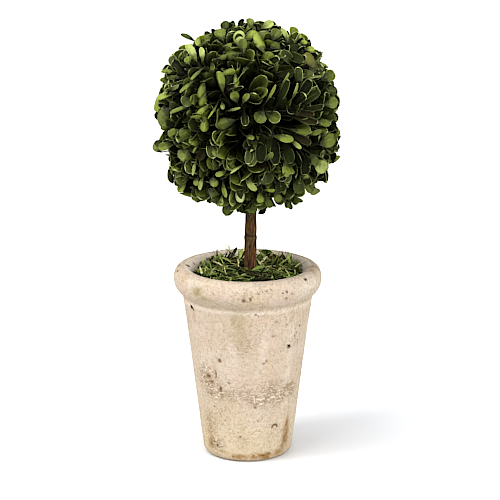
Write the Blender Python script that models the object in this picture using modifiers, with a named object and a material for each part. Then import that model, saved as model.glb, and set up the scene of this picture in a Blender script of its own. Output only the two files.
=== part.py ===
"""Potted boxwood topiary: a clipped ball of boxwood on a short stem, standing in
a tall cast clay pot with a thick rolled rim and shallow flutes.

Metres, +Z up. The origin is the centre of the pot's flat underside, and the
front of the pot faces -Y.
"""
import math
import random

import bmesh
import bpy
from mathutils import Vector, noise

# ---------------------------------------------------------------- dimensions
NAME = "potted_boxwood_topiary"
GAP = 0.0003            # clearance between touching pieces

# pot, outside
POT_SEGMENTS = 48
BASE_R = 0.0361         # foot of the straight side
BASE_EDGE_R = 0.0056    # rounded edge under the side
JOINT_R = 0.0528        # where the side meets the rim
JOINT_Z = 0.1344
RIM_R = 0.0598          # widest radius of the rolled rim
RIM_LOW_Z = 0.1430      # lower end of the widest band
RIM_HIGH_Z = 0.1500     # upper end of the widest band
RIM_TOP_R = 0.0545      # crest of the rim
RIM_TOP_Z = 0.1570
# pot, inside
LIP_R = 0.0452          # inner edge of the rim
LIP_Z = 0.1538
WALL_TOP_R = 0.0445     # inner wall under the lip
WALL_TOP_Z = 0.1470
FLOOR_R = 0.0275
FLOOR_Z = 0.0090
# flutes: broad shallow channels with arched tops under the rim
FLUTES = 12
FLUTE_DEPTH = 0.0007
FLUTE_TOP_Z = 0.1290
FLUTE_LOW_Z = 0.0100

# filling and moss
FILL_TOP_Z = 0.1452
MOSS_WALL_Z = 0.1484    # moss height at the pot's wall
MOSS_MID_Z = 0.1532     # moss height at the stem
MOSS_RELIEF = 0.0009

# stem: from a flat cut at the filling's top up to its fork inside the crown
STEM_X = 0.0021         # offset of the stem from the pot's axis
STEM_LEAN = 0.0011      # sideways lean over its whole height
STEM_R_FOOT = 0.0056
STEM_R_LOW = 0.0048
STEM_R_TOP = 0.0040
STEM_FLARE_H = 0.0075   # height over which the root flare fades out
STEM_FORK_Z = 0.2560

# crown: one clipped ball
CROWN_C = Vector((-0.0008, 0.0, 0.2793))
CROWN_R = 0.0724        # general radius of the clipped surface
SPRAYS = 64             # leafy sprays that lift the surface in low humps
SPRAY_LIFT = 0.0056
SPRAY_SPREAD = 0.21     # radians over which one spray's hump fades
CROWN_ROUGH = 0.0016
# the tips that stand out furthest, as (degrees round the picture plane from
# +X towards +Z, extra reach)
CROWN_TIPS = ((175.0, 0.0048), (128.0, 0.0070), (262.0, 0.0050),
              (296.0, 0.0052), (86.0, 0.0030), (8.0, 0.0022))
TIP_SPREAD = 0.17


# ------------------------------------------------------------------- helpers
def collection(name):
    c = bpy.data.collections.new(name)
    bpy.context.scene.collection.children.link(c)
    return c


def material(name, color, roughness, metallic=0.0):
    m = bpy.data.materials.new(name)
    m.use_nodes = True
    bsdf = m.node_tree.nodes["Principled BSDF"]
    bsdf.inputs["Base Color"].default_value = (*color, 1.0)
    bsdf.inputs["Roughness"].default_value = roughness
    bsdf.inputs["Metallic"].default_value = metallic
    return m


def arc(cx, cz, rx, rz, a0, a1, n):
    """n + 1 points on an ellipse in the turning plane, angles in degrees."""
    pts = []
    for i in range(n + 1):
        a = math.radians(a0 + (a1 - a0) * i / n)
        pts.append((cx + rx * math.cos(a), cz + rz * math.sin(a)))
    return pts


def turned(name, profile, segments, coll):
    """A closed body turned round Z from an outline of (radius, height) points
    that run down the outer side."""
    me = bpy.data.meshes.new(name + "_outline")
    bm = bmesh.new()
    vs = [bm.verts.new((r, 0.0, z)) for r, z in profile]
    for a, b in zip(vs, vs[1:]):
        bm.edges.new((a, b))
    bm.to_mesh(me)
    bm.free()
    ob = bpy.data.objects.new(name, me)
    coll.objects.link(ob)
    mod = ob.modifiers.new("turn", "SCREW")
    mod.axis = "Z"
    mod.angle = math.tau
    mod.steps = segments
    mod.render_steps = segments
    mod.use_merge_vertices = True
    mod.merge_threshold = 0.00001
    return ob


def baked(ob, coll):
    """The object's evaluated shape as a plain mesh object in its place."""
    bpy.context.view_layer.update()
    dg = bpy.context.evaluated_depsgraph_get()
    me = bpy.data.meshes.new_from_object(ob.evaluated_get(dg))
    bm = bmesh.new()
    bm.from_mesh(me)
    bmesh.ops.remove_doubles(bm, verts=bm.verts, dist=0.00001)
    bmesh.ops.recalc_face_normals(bm, faces=bm.faces)
    bm.to_mesh(me)
    bm.free()
    name = ob.name
    world = ob.matrix_world.copy()
    bpy.data.objects.remove(ob, do_unlink=True)
    new = bpy.data.objects.new(name, me)
    new.matrix_world = world
    coll.objects.link(new)
    return new


def smooth(ob, degrees=40.0):
    ob.data.shade_smooth()
    ob.data.set_sharp_from_angle(angle=math.radians(degrees))


def smoothstep(a, b, x):
    t = min(1.0, max(0.0, (x - a) / (b - a)))
    return t * t * (3.0 - 2.0 * t)


# ----------------------------------------------------------------------- pot
def side_radius(z):
    """Outer radius of the straight side at height z."""
    return BASE_R + (JOINT_R - BASE_R) * z / JOINT_Z


def wall_radius(z):
    """Inner radius of the pot at height z."""
    return FLOOR_R + (WALL_TOP_R - FLOOR_R) * (z - FLOOR_Z) / (WALL_TOP_Z - FLOOR_Z)


def pot_profile():
    pts = [(0.0, FLOOR_Z), (FLOOR_R - 0.003, FLOOR_Z)]
    pts += [(wall_radius(FLOOR_Z + 0.003), FLOOR_Z + 0.003)]
    pts += [(wall_radius(z), z) for z in (0.075, WALL_TOP_Z)]
    # rolled rim: from the inner lip over the crest to the widest band
    pts += [(LIP_R, LIP_Z - 0.0012)]
    pts += arc(LIP_R + 0.0042, LIP_Z, 0.0040, 0.0022, 168, 105, 2)
    pts += [(RIM_TOP_R - 0.002, RIM_TOP_Z)]
    pts += arc(RIM_TOP_R, RIM_HIGH_Z, RIM_R - RIM_TOP_R,
               RIM_TOP_Z - RIM_HIGH_Z, 78, 0, 4)
    # the slanted underside back to the joint with the side
    pts += [(RIM_R, RIM_LOW_Z), (RIM_R - 0.0012, RIM_LOW_Z - 0.0034),
            (JOINT_R + 0.0012, JOINT_Z + 0.0010)]
    zs = [JOINT_Z - 0.0006, FLUTE_TOP_Z, FLUTE_TOP_Z - 0.008]
    zs += [FLUTE_TOP_Z - 0.008 - k * 0.0285 for k in (1, 2, 3)]
    zs += [FLUTE_LOW_Z + 0.006, BASE_EDGE_R * 1.2]
    pts += [(side_radius(z), z) for z in zs]
    # rounded edge down to the flat underside
    pts += arc(BASE_R - BASE_EDGE_R + 0.0004, BASE_EDGE_R * 1.1, BASE_EDGE_R,
               BASE_EDGE_R * 1.1, -12, -90, 4)
    pts += [(0.0, 0.0)]
    return pts


def make_pot(coll):
    pot = baked(turned("pot", pot_profile(), POT_SEGMENTS, coll), coll)
    for v in pot.data.vertices:
        r, z = math.hypot(v.co.x, v.co.y), v.co.z
        if z > FLUTE_TOP_Z + 1e-5 or z < BASE_EDGE_R or r < side_radius(z) - 0.0015:
            continue
        a = math.atan2(v.co.y, v.co.x)
        # a valley lies between two ridges; ridges stand 15 degrees off front
        wave = 0.5 - 0.5 * math.cos(FLUTES * (a + math.pi / 2 + math.pi / FLUTES))
        fade = smoothstep(FLUTE_TOP_Z, FLUTE_TOP_Z - 0.010, z) * \
            smoothstep(FLUTE_LOW_Z - 0.004, FLUTE_LOW_Z + 0.010, z)
        k = 1.0 - FLUTE_DEPTH * wave * fade / r
        v.co.x *= k
        v.co.y *= k
    smooth(pot)
    pot.data.materials.append(material("weathered_clay", (0.70, 0.58, 0.42), 0.85))
    return pot


# --------------------------------------------------------- filling and moss
def make_filling(coll):
    gap = 0.0006
    zs = (FLOOR_Z + GAP, FLOOR_Z + 0.004, 0.075, FILL_TOP_Z)
    radii = [FLOOR_R - 0.004] + [wall_radius(z) - gap for z in zs[1:]]
    profile = [(0.0, FILL_TOP_Z)]
    profile += [(r, z) for r, z in reversed(list(zip(radii, zs)))]
    profile += [(0.0, FLOOR_Z + GAP)]
    fill = turned("potting_fill", profile, 36, coll)
    fill.data.materials.append(material("potting_mix", (0.05, 0.035, 0.025), 0.95))
    return fill


def stem_x(z):
    t = (z - FILL_TOP_Z) / (STEM_FORK_Z - FILL_TOP_Z)
    return STEM_X + STEM_LEAN * smoothstep(0.0, 1.0, t)


def stem_radius(z):
    t = (z - FILL_TOP_Z) / (STEM_FORK_Z - FILL_TOP_Z)
    flare = math.exp(-(z - FILL_TOP_Z) / STEM_FLARE_H)
    return STEM_R_LOW + (STEM_R_TOP - STEM_R_LOW) * t + \
        (STEM_R_FOOT - STEM_R_LOW) * flare


def make_moss(coll):
    """A low mound over the filling, with a round hole for the stem."""
    hole = STEM_R_FOOT + 0.0009
    outer = wall_radius(FILL_TOP_Z) - 0.0012
    low = FILL_TOP_Z + GAP
    rows = 7
    rim = [(outer, MOSS_WALL_Z - 0.0012), (outer, low)]
    top = []
    for i in range(rows):
        t = i / (rows - 1)
        r = hole + (outer - 0.0006 - hole) * t
        top.append((r, MOSS_MID_Z - (MOSS_MID_Z - MOSS_WALL_Z) * t ** 1.6))
    profile = [(hole, low), (hole, top[0][1])] + top[1:] + rim + [(hole, low)]
    moss = baked(turned("moss", profile, 36, coll), coll)
    for v in moss.data.vertices:
        r = math.hypot(v.co.x, v.co.y)
        if v.co.z > low + 0.0015:
            n = noise.noise(Vector((v.co.x, v.co.y, 0.3)) * 85.0)
            edge = smoothstep(hole, hole + 0.004, r)
            v.co.z += MOSS_RELIEF * n * (0.4 + 0.6 * edge)
        v.co.x += STEM_X * (1.0 - smoothstep(hole, outer - 0.004, r))
    smooth(moss, 50)
    moss.data.materials.append(material("dried_moss", (0.07, 0.08, 0.03), 0.95))
    return moss


# ---------------------------------------------------------------------- stem
def stem_curve(name, coll, grow=0.0, top=0.0, bottom=0.0, resolution=3):
    """The stem as a tapering rod; grow, top and bottom enlarge it."""
    zs = [FILL_TOP_Z + GAP - bottom, FILL_TOP_Z + GAP + 0.0015]
    zs += [FILL_TOP_Z + 0.0045, FILL_TOP_Z + 0.010, FILL_TOP_Z + 0.020]
    n = 7
    z0 = zs[-1]
    zs += [z0 + (STEM_FORK_Z + top - z0) * (i + 1) / n for i in range(n)]
    cu = bpy.data.curves.new(name, "CURVE")
    cu.dimensions = "3D"
    cu.bevel_depth = 1.0
    cu.bevel_resolution = resolution
    cu.use_fill_caps = True
    sp = cu.splines.new("POLY")
    sp.points.add(len(zs) - 1)
    for p, z in zip(sp.points, zs):
        zz = max(z, FILL_TOP_Z)
        x = STEM_X if z < FILL_TOP_Z + 0.002 else stem_x(min(zz, STEM_FORK_Z))
        p.co = (x, 0.0, z, 1.0)
        p.radius = stem_radius(min(zz, STEM_FORK_Z)) + grow
    ob = bpy.data.objects.new(name, cu)
    coll.objects.link(ob)
    return baked(ob, coll)


def make_stem(coll):
    stem = stem_curve("trunk", coll)
    # the foot is a flat cut, level with the filling
    for v in stem.data.vertices:
        if v.co.z < FILL_TOP_Z + GAP + 0.0004:
            v.co.z = FILL_TOP_Z + GAP
    smooth(stem)
    stem.data.materials.append(material("boxwood_bark", (0.12, 0.07, 0.045), 0.85))
    return stem


# --------------------------------------------------------------------- crown
def sphere_directions(count, seed):
    """Evenly spread directions, each nudged a little by the seed."""
    rng = random.Random(seed)
    golden = math.pi * (3.0 - math.sqrt(5.0))
    out = []
    for i in range(count):
        z = 1.0 - 2.0 * (i + 0.5) / count
        r = math.sqrt(1.0 - z * z)
        d = Vector((r * math.cos(golden * i), r * math.sin(golden * i), z))
        d += Vector([rng.uniform(-0.13, 0.13) for _ in range(3)])
        out.append(d.normalized())
    return out


def crown_radius(d, humps, tips):
    """Reach of the clipped surface from the crown's centre along d."""
    r = CROWN_R + CROWN_ROUGH * noise.noise(d * 3.1 + Vector((4.0, 1.0, 7.0)))
    best = 0.0
    for h in humps:
        c = d.dot(h)
        if c > 0.8:
            a = math.acos(min(1.0, c))
            best = max(best, math.exp(-(a / SPRAY_SPREAD) ** 2))
    r += SPRAY_LIFT * (best - 0.55)
    for h, lift in tips:
        c = d.dot(h)
        if c > 0.8:
            a = math.acos(min(1.0, c))
            r += lift * math.exp(-(a / TIP_SPREAD) ** 2)
    return r


def make_crown(coll, cutters):
    bm = bmesh.new()
    bmesh.ops.create_icosphere(bm, subdivisions=4, radius=1.0)
    humps = sphere_directions(SPRAYS, 11)
    tips = [(Vector((math.cos(math.radians(a)), 0.0, math.sin(math.radians(a)))), lift)
            for a, lift in CROWN_TIPS]
    for v in bm.verts:
        d = v.co.normalized()
        v.co = CROWN_C + d * crown_radius(d, humps, tips)
    me = bpy.data.meshes.new("crown")
    bm.to_mesh(me)
    bm.free()
    crown = bpy.data.objects.new("crown", me)
    coll.objects.link(crown)
    # the stem's blind socket in the underside of the ball
    cutter = stem_curve("stem_socket", cutters, grow=0.0004, top=0.0005)
    cutter.hide_render = True
    cutter.display_type = "WIRE"
    mod = crown.modifiers.new("socket", "BOOLEAN")
    mod.operation = "DIFFERENCE"
    mod.solver = "EXACT"
    mod.object = cutter
    smooth(crown, 60)
    crown.data.materials.append(material("boxwood_leaves", (0.09, 0.11, 0.035), 0.6))
    return crown


# --------------------------------------------------------------------- model
def build():
    for ob in list(bpy.data.objects):
        bpy.data.objects.remove(ob, do_unlink=True)
    parts = collection(NAME)
    cutters = collection("cutters")
    root = bpy.data.objects.new(NAME + "_origin", None)
    parts.objects.link(root)
    pieces = [make_pot(parts), make_filling(parts), make_moss(parts),
              make_stem(parts), make_crown(parts, cutters)]
    for ob in pieces:
        ob.parent = root


build()
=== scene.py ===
import math

import bpy
import numpy as np
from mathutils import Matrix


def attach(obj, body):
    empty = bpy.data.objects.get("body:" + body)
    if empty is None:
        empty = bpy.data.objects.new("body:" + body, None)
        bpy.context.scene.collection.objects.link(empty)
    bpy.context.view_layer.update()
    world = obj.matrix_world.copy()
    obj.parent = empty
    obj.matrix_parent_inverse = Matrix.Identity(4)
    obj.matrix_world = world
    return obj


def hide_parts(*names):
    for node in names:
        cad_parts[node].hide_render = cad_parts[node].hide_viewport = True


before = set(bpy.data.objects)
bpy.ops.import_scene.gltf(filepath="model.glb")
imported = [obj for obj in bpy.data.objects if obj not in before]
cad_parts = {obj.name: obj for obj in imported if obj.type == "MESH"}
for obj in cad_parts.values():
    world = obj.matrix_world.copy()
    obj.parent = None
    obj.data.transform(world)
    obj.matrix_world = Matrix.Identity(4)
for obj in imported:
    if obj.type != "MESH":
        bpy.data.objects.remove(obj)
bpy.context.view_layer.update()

MM = 0.001

# ------------------------------------------------------------------ measures
STEM_X = 0.0021
STEM_LEAN = 0.0011
FILL_TOP = 0.1452
FORK_Z = 0.2560
CROWN_C = np.array([-0.0006, 0.0, 0.2793])
CROWN_R = 0.0782


# ------------------------------------------------------------------ numbers
def hash3(ix, iy, iz, seed):
    """A repeatable number in 0..1 for each whole-number corner."""
    h = (ix.astype(np.int64) * 374761393 + iy.astype(np.int64) * 668265263
         + iz.astype(np.int64) * 2147483647 + seed * 1274126177) & 0xFFFFFFFF
    h = ((h ^ (h >> 13)) * 1103515245) & 0xFFFFFFFF
    h = ((h ^ (h >> 16)) * 2654435761) & 0xFFFFFFFF
    return ((h ^ (h >> 15)) & 0xFFFFFF) / float(0xFFFFFF)


def vnoise(p, scale, seed=0):
    """Smooth noise in -1..1 at points p (n, 3), scale in lumps per metre."""
    q = p * scale
    i = np.floor(q)
    f = q - i
    f = f * f * f * (f * (f * 6.0 - 15.0) + 10.0)
    i = i.astype(np.int64)
    out = 0.0
    for dx in (0, 1):
        wx = f[:, 0] if dx else 1.0 - f[:, 0]
        for dy in (0, 1):
            wy = f[:, 1] if dy else 1.0 - f[:, 1]
            for dz in (0, 1):
                wz = f[:, 2] if dz else 1.0 - f[:, 2]
                out = out + wx * wy * wz * hash3(i[:, 0] + dx, i[:, 1] + dy, i[:, 2] + dz, seed)
    return out * 2.0 - 1.0


def fbm(p, scale, octaves=3, seed=0, gain=0.5):
    total, amp, norm = 0.0, 1.0, 0.0
    for k in range(octaves):
        total = total + amp * vnoise(p, scale * 2.0 ** k, seed + 17 * k)
        norm += amp
        amp *= gain
    return total / norm


def smoothstep(a, b, x):
    t = np.clip((x - a) / (b - a), 0.0, 1.0)
    return t * t * (3.0 - 2.0 * t)


def unit(v):
    v = np.asarray(v, float)
    n = np.linalg.norm(v, axis=-1, keepdims=True)
    return v / np.maximum(n, 1e-12)


def fibonacci(count):
    i = np.arange(count)
    z = 1.0 - 2.0 * (i + 0.5) / count
    r = np.sqrt(1.0 - z * z)
    a = math.pi * (3.0 - math.sqrt(5.0)) * i
    return np.stack([r * np.cos(a), r * np.sin(a), z], 1)


# ------------------------------------------------------------------- meshes
def mesh_object(name, verts, faces, mats, index=None, smooth=True):
    """A mesh piece. faces is an (n, 4) or (n, 3) array, or a list of both kinds."""
    me = bpy.data.meshes.new(name)
    verts = np.asarray(verts, np.float32)
    groups = faces if isinstance(faces, list) else [faces]
    groups = [np.asarray(g, np.int32) for g in groups if len(g)]
    loops = np.concatenate([g.ravel() for g in groups])
    sizes = np.concatenate([np.full(len(g), g.shape[1], np.int32) for g in groups])
    starts = np.concatenate([[0], np.cumsum(sizes)[:-1]]).astype(np.int32)
    me.vertices.add(len(verts))
    me.vertices.foreach_set("co", verts.ravel())
    me.loops.add(len(loops))
    me.loops.foreach_set("vertex_index", loops)
    me.polygons.add(len(sizes))
    me.polygons.foreach_set("loop_start", starts)
    me.polygons.foreach_set("loop_total", sizes)
    for m in mats:
        me.materials.append(m)
    if index is not None:
        me.polygons.foreach_set("material_index", np.asarray(index, np.int32))
    me.polygons.foreach_set("use_smooth", np.full(len(sizes), smooth))
    me.update(calc_edges=True)
    me.validate()
    ob = bpy.data.objects.new(name, me)
    bpy.context.scene.collection.objects.link(ob)
    return ob


def attribute(ob, name, values):
    a = ob.data.attributes.new(name, "FLOAT", "POINT")
    a.data.foreach_set("value", np.asarray(values, np.float32))


def tube(points, radii, sides, close=True, twist=0.0, frame_hint=(0.31, 0.87, 0.38)):
    """Vertices and faces of a tapering tube with closed ends."""
    p = np.asarray(points, float)
    r = np.asarray(radii, float)
    n = len(p)
    t = np.gradient(p, axis=0)
    t = unit(t)
    ref = np.asarray(frame_hint, float)
    u = unit(np.cross(t[0], ref))
    verts = []
    for k in range(n):
        u = unit(u - t[k] * np.dot(u, t[k]))
        w = np.cross(t[k], u)
        a = np.arange(sides) * (2 * math.pi / sides) + twist * k
        verts.append(p[k] + r[k] * (np.cos(a)[:, None] * u + np.sin(a)[:, None] * w))
    verts = np.concatenate(verts)
    quads = []
    for k in range(n - 1):
        a = k * sides + np.arange(sides)
        b = k * sides + (np.arange(sides) + 1) % sides
        quads.append(np.stack([a, b, b + sides, a + sides], 1))
    quads = np.concatenate(quads)
    tris = np.zeros((0, 3), int)
    if close:
        c0, c1 = len(verts), len(verts) + 1
        verts = np.concatenate([verts, p[:1] - t[:1] * r[0] * 0.2, p[-1:] + t[-1:] * r[-1] * 0.6])
        a = np.arange(sides)
        b = (a + 1) % sides
        last = (n - 1) * sides
        tris = np.concatenate([np.stack([b, a, np.full(sides, c0)], 1),
                               np.stack([last + a, last + b, np.full(sides, c1)], 1)])
    return verts, quads, tris


class Pile:
    """Collects many small shapes into one mesh."""

    def __init__(self):
        self.v, self.q, self.t, self.iq, self.it, self.n = [], [], [], [], [], 0

    def add(self, verts, quads, tris, index=0):
        self.v.append(verts)
        self.q.append(quads + self.n)
        self.t.append(tris + self.n)
        self.iq.append(np.full(len(quads), index))
        self.it.append(np.full(len(tris), index))
        self.n += len(verts)

    def make(self, name, mats, smooth=True):
        q, t = np.concatenate(self.q), np.concatenate(self.t)
        groups = [q] + ([t] if len(t) else [])
        index = np.concatenate(self.iq + (self.it if len(t) else []))
        return mesh_object(name, np.concatenate(self.v), groups, mats, index, smooth)


def bezier(p0, p1, p2, p3, n):
    t = np.linspace(0.0, 1.0, n)[:, None]
    return ((1 - t) ** 3 * p0 + 3 * (1 - t) ** 2 * t * p1 + 3 * (1 - t) * t ** 2 * p2 + t ** 3 * p3)


# ---------------------------------------------------------------- materials
class Nodes:
    """Small helper for building a node tree."""

    def __init__(self, name):
        self.mat = bpy.data.materials.new(name)
        self.mat.use_nodes = True
        self.t = self.mat.node_tree
        self.bsdf = self.t.nodes["Principled BSDF"]
        self.coord = self.t.nodes.new("ShaderNodeTexCoord").outputs["Object"]

    def link(self, a, b):
        self.t.links.new(a, b)

    def set(self, socket, value):
        if isinstance(value, bpy.types.NodeSocket):
            self.link(value, socket)
        elif isinstance(value, (tuple, list)) and len(value) == 3 and socket.type == "RGBA":
            socket.default_value = (*value, 1.0)
        else:
            socket.default_value = value

    def noise(self, scale, detail=3.0, rough=0.5, distort=0.0, vector=None, offset=None):
        n = self.t.nodes.new("ShaderNodeTexNoise")
        n.inputs["Scale"].default_value = scale
        n.inputs["Detail"].default_value = detail
        n.inputs["Roughness"].default_value = rough
        n.inputs["Distortion"].default_value = distort
        self.link(vector or self.shifted(offset), n.inputs["Vector"])
        return n.outputs["Fac"]

    def shifted(self, offset):
        if offset is None:
            return self.coord
        m = self.t.nodes.new("ShaderNodeMapping")
        m.inputs["Location"].default_value = offset
        self.link(self.coord, m.inputs["Vector"])
        return m.outputs["Vector"]

    def stretched(self, scale, offset=(0, 0, 0)):
        m = self.t.nodes.new("ShaderNodeMapping")
        m.inputs["Scale"].default_value = scale
        m.inputs["Location"].default_value = offset
        self.link(self.coord, m.inputs["Vector"])
        return m.outputs["Vector"]

    def voronoi(self, scale, feature="F1", vector=None, out="Distance", randomness=1.0):
        n = self.t.nodes.new("ShaderNodeTexVoronoi")
        n.feature = feature
        n.inputs["Scale"].default_value = scale
        n.inputs["Randomness"].default_value = randomness
        self.link(vector or self.coord, n.inputs["Vector"])
        return n.outputs[out]

    def ramp(self, fac, stops):
        n = self.t.nodes.new("ShaderNodeValToRGB")
        e = n.color_ramp.elements
        while len(e) < len(stops):
            e.new(0.5)
        for el, (pos, col) in zip(e, stops):
            el.position = pos
            el.color = (*col, 1.0) if len(col) == 3 else col
        self.link(fac, n.inputs["Fac"])
        return n.outputs["Color"]

    def range(self, value, a, b, c=0.0, d=1.0, smooth=True):
        n = self.t.nodes.new("ShaderNodeMapRange")
        n.interpolation_type = "SMOOTHSTEP" if smooth else "LINEAR"
        self.link(value, n.inputs["Value"])
        n.inputs["From Min"].default_value = a
        n.inputs["From Max"].default_value = b
        n.inputs["To Min"].default_value = c
        n.inputs["To Max"].default_value = d
        return n.outputs["Result"]

    def mix(self, fac, a, b, blend="MIX"):
        n = self.t.nodes.new("ShaderNodeMix")
        n.data_type = "RGBA"
        n.blend_type = blend
        ins = [s for s in n.inputs if s.type == "RGBA"]
        self.set([s for s in n.inputs if s.name == "Factor" and s.type == "VALUE"][0], fac)
        self.set(ins[0], a)
        self.set(ins[1], b)
        return [s for s in n.outputs if s.type == "RGBA"][0]

    def math(self, op, a, b=None, clamp=False):
        n = self.t.nodes.new("ShaderNodeMath")
        n.operation = op
        n.use_clamp = clamp
        self.set(n.inputs[0], a)
        if b is not None:
            self.set(n.inputs[1], b)
        return n.outputs[0]

    def attr(self, name):
        n = self.t.nodes.new("ShaderNodeAttribute")
        n.attribute_name = name
        return n.outputs["Fac"]

    def bump(self, height, strength, distance, normal=None):
        n = self.t.nodes.new("ShaderNodeBump")
        n.inputs["Strength"].default_value = strength
        n.inputs["Distance"].default_value = distance
        self.link(height, n.inputs["Height"])
        if normal is not None:
            self.link(normal, n.inputs["Normal"])
        return n.outputs["Normal"]

    def finish(self, color, rough, normal=None, specular=0.5):
        self.set(self.bsdf.inputs["Base Color"], color)
        self.set(self.bsdf.inputs["Roughness"], rough)
        self.bsdf.inputs["Specular IOR Level"].default_value = specular
        if normal is not None:
            self.link(normal, self.bsdf.inputs["Normal"])
        return self.mat


def clay_material():
    m = Nodes("weathered_clay")
    big = m.noise(24.0, 3.0, 0.5, 0.5)
    tone = m.ramp(big, [(0.30, (0.530, 0.438, 0.334)), (0.46, (0.552, 0.464, 0.365)),
                        (0.60, (0.568, 0.485, 0.396)), (0.74, (0.585, 0.510, 0.432))])
    pink = m.range(m.noise(33.0, 3.0, 0.5, 0.3, offset=(0.3, 0.7, 0.1)), 0.50, 0.68)
    tone = m.mix(m.math("MULTIPLY", pink, 0.45), tone, (0.575, 0.450, 0.380))
    ochre = m.range(m.noise(46.0, 4.0, 0.6, 0.5, offset=(0.9, 0.2, 0.4)), 0.53, 0.72)
    tone = m.mix(m.math("MULTIPLY", ochre, 0.45), tone, (0.535, 0.420, 0.265))
    tone = m.mix(m.math("MULTIPLY", m.attr("earth"), 0.50), tone, (0.600, 0.510, 0.350))
    # paler patches of the clay's own, with painted highlights on the flute ridges and the bead, and painted light on
    # the lip and the rim
    tone = m.mix(m.math("MULTIPLY", m.attr("pale"), 0.72), tone, (0.68, 0.62, 0.54))
    # painted shade: darker under the rim, in the joint, in the bowls of the flutes and further down inside the mouth
    tone = m.mix(m.math("MULTIPLY", m.attr("painted_shade"), 0.34), tone, (0.36, 0.285, 0.195))
    blotch = m.range(m.noise(300.0, 3.0, 0.65), 0.34, 0.68, 0.89, 1.10)
    tone = m.mix(1.0, tone, m.mix(blotch, (0.0, 0.0, 0.0), (1.0, 1.0, 1.0)), "MULTIPLY")
    grain = m.range(m.noise(640.0, 2.0, 0.6), 0.36, 0.64, 0.82, 1.16)
    rough = m.math("MULTIPLY", m.attr("rough"), 1.4)
    grain = m.math("ADD", m.math("MULTIPLY", m.math("SUBTRACT", grain, 1.0), rough), 1.0)
    tone = m.mix(1.0, tone, m.mix(grain, (0.0, 0.0, 0.0), (1.0, 1.0, 1.0)), "MULTIPLY")
    worn = m.attr("worn")
    # scattered pits of three sizes, each cell holding one or none
    warp = m.noise(900.0, 2.0, 0.5, offset=(0.2, 0.6, 0.9))
    pit = None
    for scale, keep, size, deep, off in ((165.0, 0.84, 0.17, 0.80, (0.11, 0.0, 0.0)),
                                         (290.0, 0.58, 0.25, 0.60, (0.0, 0.37, 0.0)),
                                         (500.0, 0.42, 0.34, 0.48, (0.0, 0.0, 0.53))):
        vec = m.shifted(off)
        cell = m.voronoi(scale, vector=vec)
        pickc = m.t.nodes.new("ShaderNodeSeparateColor")
        m.link(m.voronoi(scale, vector=vec, out="Color"), pickc.inputs[0])
        edge = m.math("ADD", cell, m.range(warp, 0.3, 0.7, -0.07, 0.07))
        dot = m.range(edge, size, size * 0.45)
        dot = m.math("MULTIPLY", dot, m.range(pickc.outputs[0], keep, keep + 0.12, 0.0, deep))
        pit = dot if pit is None else m.math("MAXIMUM", pit, dot)
    pit = m.math("MULTIPLY", pit, m.range(rough, 0.3, 1.2, 0.45, 1.0))
    tone = m.mix(pit, tone, (0.300, 0.190, 0.095))
    # wrinkles: broken creases, strong where the skin is rough, with painted shade in the creases and painted
    # highlights beside them
    turn = m.t.nodes.new("ShaderNodeMapping")
    turn.inputs["Rotation"].default_value = (0.0, math.radians(-18.0), 0.0)
    turn.inputs["Scale"].default_value = (1.0, 1.0, 2.1)
    m.link(m.coord, turn.inputs["Vector"])
    fold = m.noise(330.0, 2.0, 0.6, 0.9, vector=turn.outputs["Vector"])
    crease = m.range(m.math("ABSOLUTE", m.math("SUBTRACT", fold, 0.45)), 0.050, 0.005)
    crease = m.math("MULTIPLY", crease, m.range(worn, 0.0, 0.8, 0.12, 1.0))
    tone = m.mix(m.math("MULTIPLY", worn, 0.22), tone, (0.56, 0.45, 0.31))
    glint = m.math("MULTIPLY", m.range(fold, 0.54, 0.62), m.range(worn, 0.2, 0.9, 0.0, 0.62))
    tone = m.mix(glint, tone, (0.76, 0.67, 0.55))
    tone = m.mix(m.math("MULTIPLY", crease, 0.80), tone, (0.29, 0.190, 0.100))
    rust = m.math("MULTIPLY", m.attr("rust"), m.range(m.noise(190.0, 4.0, 0.7, 0.6), 0.34, 0.56, 0.20, 1.0))
    tone = m.mix(rust, tone, (0.31, 0.185, 0.065))
    # olive stains on the rim, and the ochre marks' olive tint that paints shade on a flute wall under the rim
    olive = m.math("MULTIPLY", m.attr("olive"), m.range(m.noise(200.0, 4.0, 0.7), 0.30, 0.60, 0.4, 1.0))
    tone = m.mix(olive, tone, (0.30, 0.25, 0.11))
    # brown specks and streaks, and the arch's crescent of painted shadow under a pit's upper lip
    tone = m.mix(m.attr("brown"), tone, (0.150, 0.078, 0.034))
    # holes drawn near black: painted shade in their hollows
    tone = m.mix(m.attr("dark"), tone, (0.050, 0.028, 0.014))
    height = m.math("SUBTRACT", m.noise(480.0, 4.0, 0.6), m.math("MULTIPLY", pit, 0.6))
    height = m.math("SUBTRACT", height, m.math("MULTIPLY", crease, 0.5))
    height = m.math("ADD", height, m.math("MULTIPLY", m.math("MULTIPLY", fold, worn), 1.1))
    normal = m.bump(height, 0.80, 0.0008)
    return m.finish(tone, m.range(grain, 0.84, 1.09, 0.96, 0.84), normal, 0.22)


def leaf_material(name, color, rough, mottle=0.22, specular=0.5):
    m = Nodes(name)
    m.bsdf.inputs["Specular Tint"].default_value = (0.93, 1.00, 0.60, 1.0)
    n = m.range(m.noise(260.0, 3.0, 0.55), 0.30, 0.70, 1.0 - mottle, 1.0 + mottle)
    fine = m.range(m.noise(720.0, 3.0, 0.65, offset=(0.4, 0.1, 0.8)), 0.34, 0.66, 0.74, 1.28)
    # each leaf's per-vertex painted light and shade, with its veins, multiplies the colour
    n = m.math("MULTIPLY", m.math("MULTIPLY", n, fine), m.attr("painted_shade_and_veins"))
    tone = m.mix(1.0, color, m.mix(n, (0.0, 0.0, 0.0), (1.0, 1.0, 1.0)), "MULTIPLY")
    normal = m.bump(m.noise(430.0, 3.0, 0.6), 0.60, 0.0009)
    return m.finish(tone, rough, normal, specular)


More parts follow.
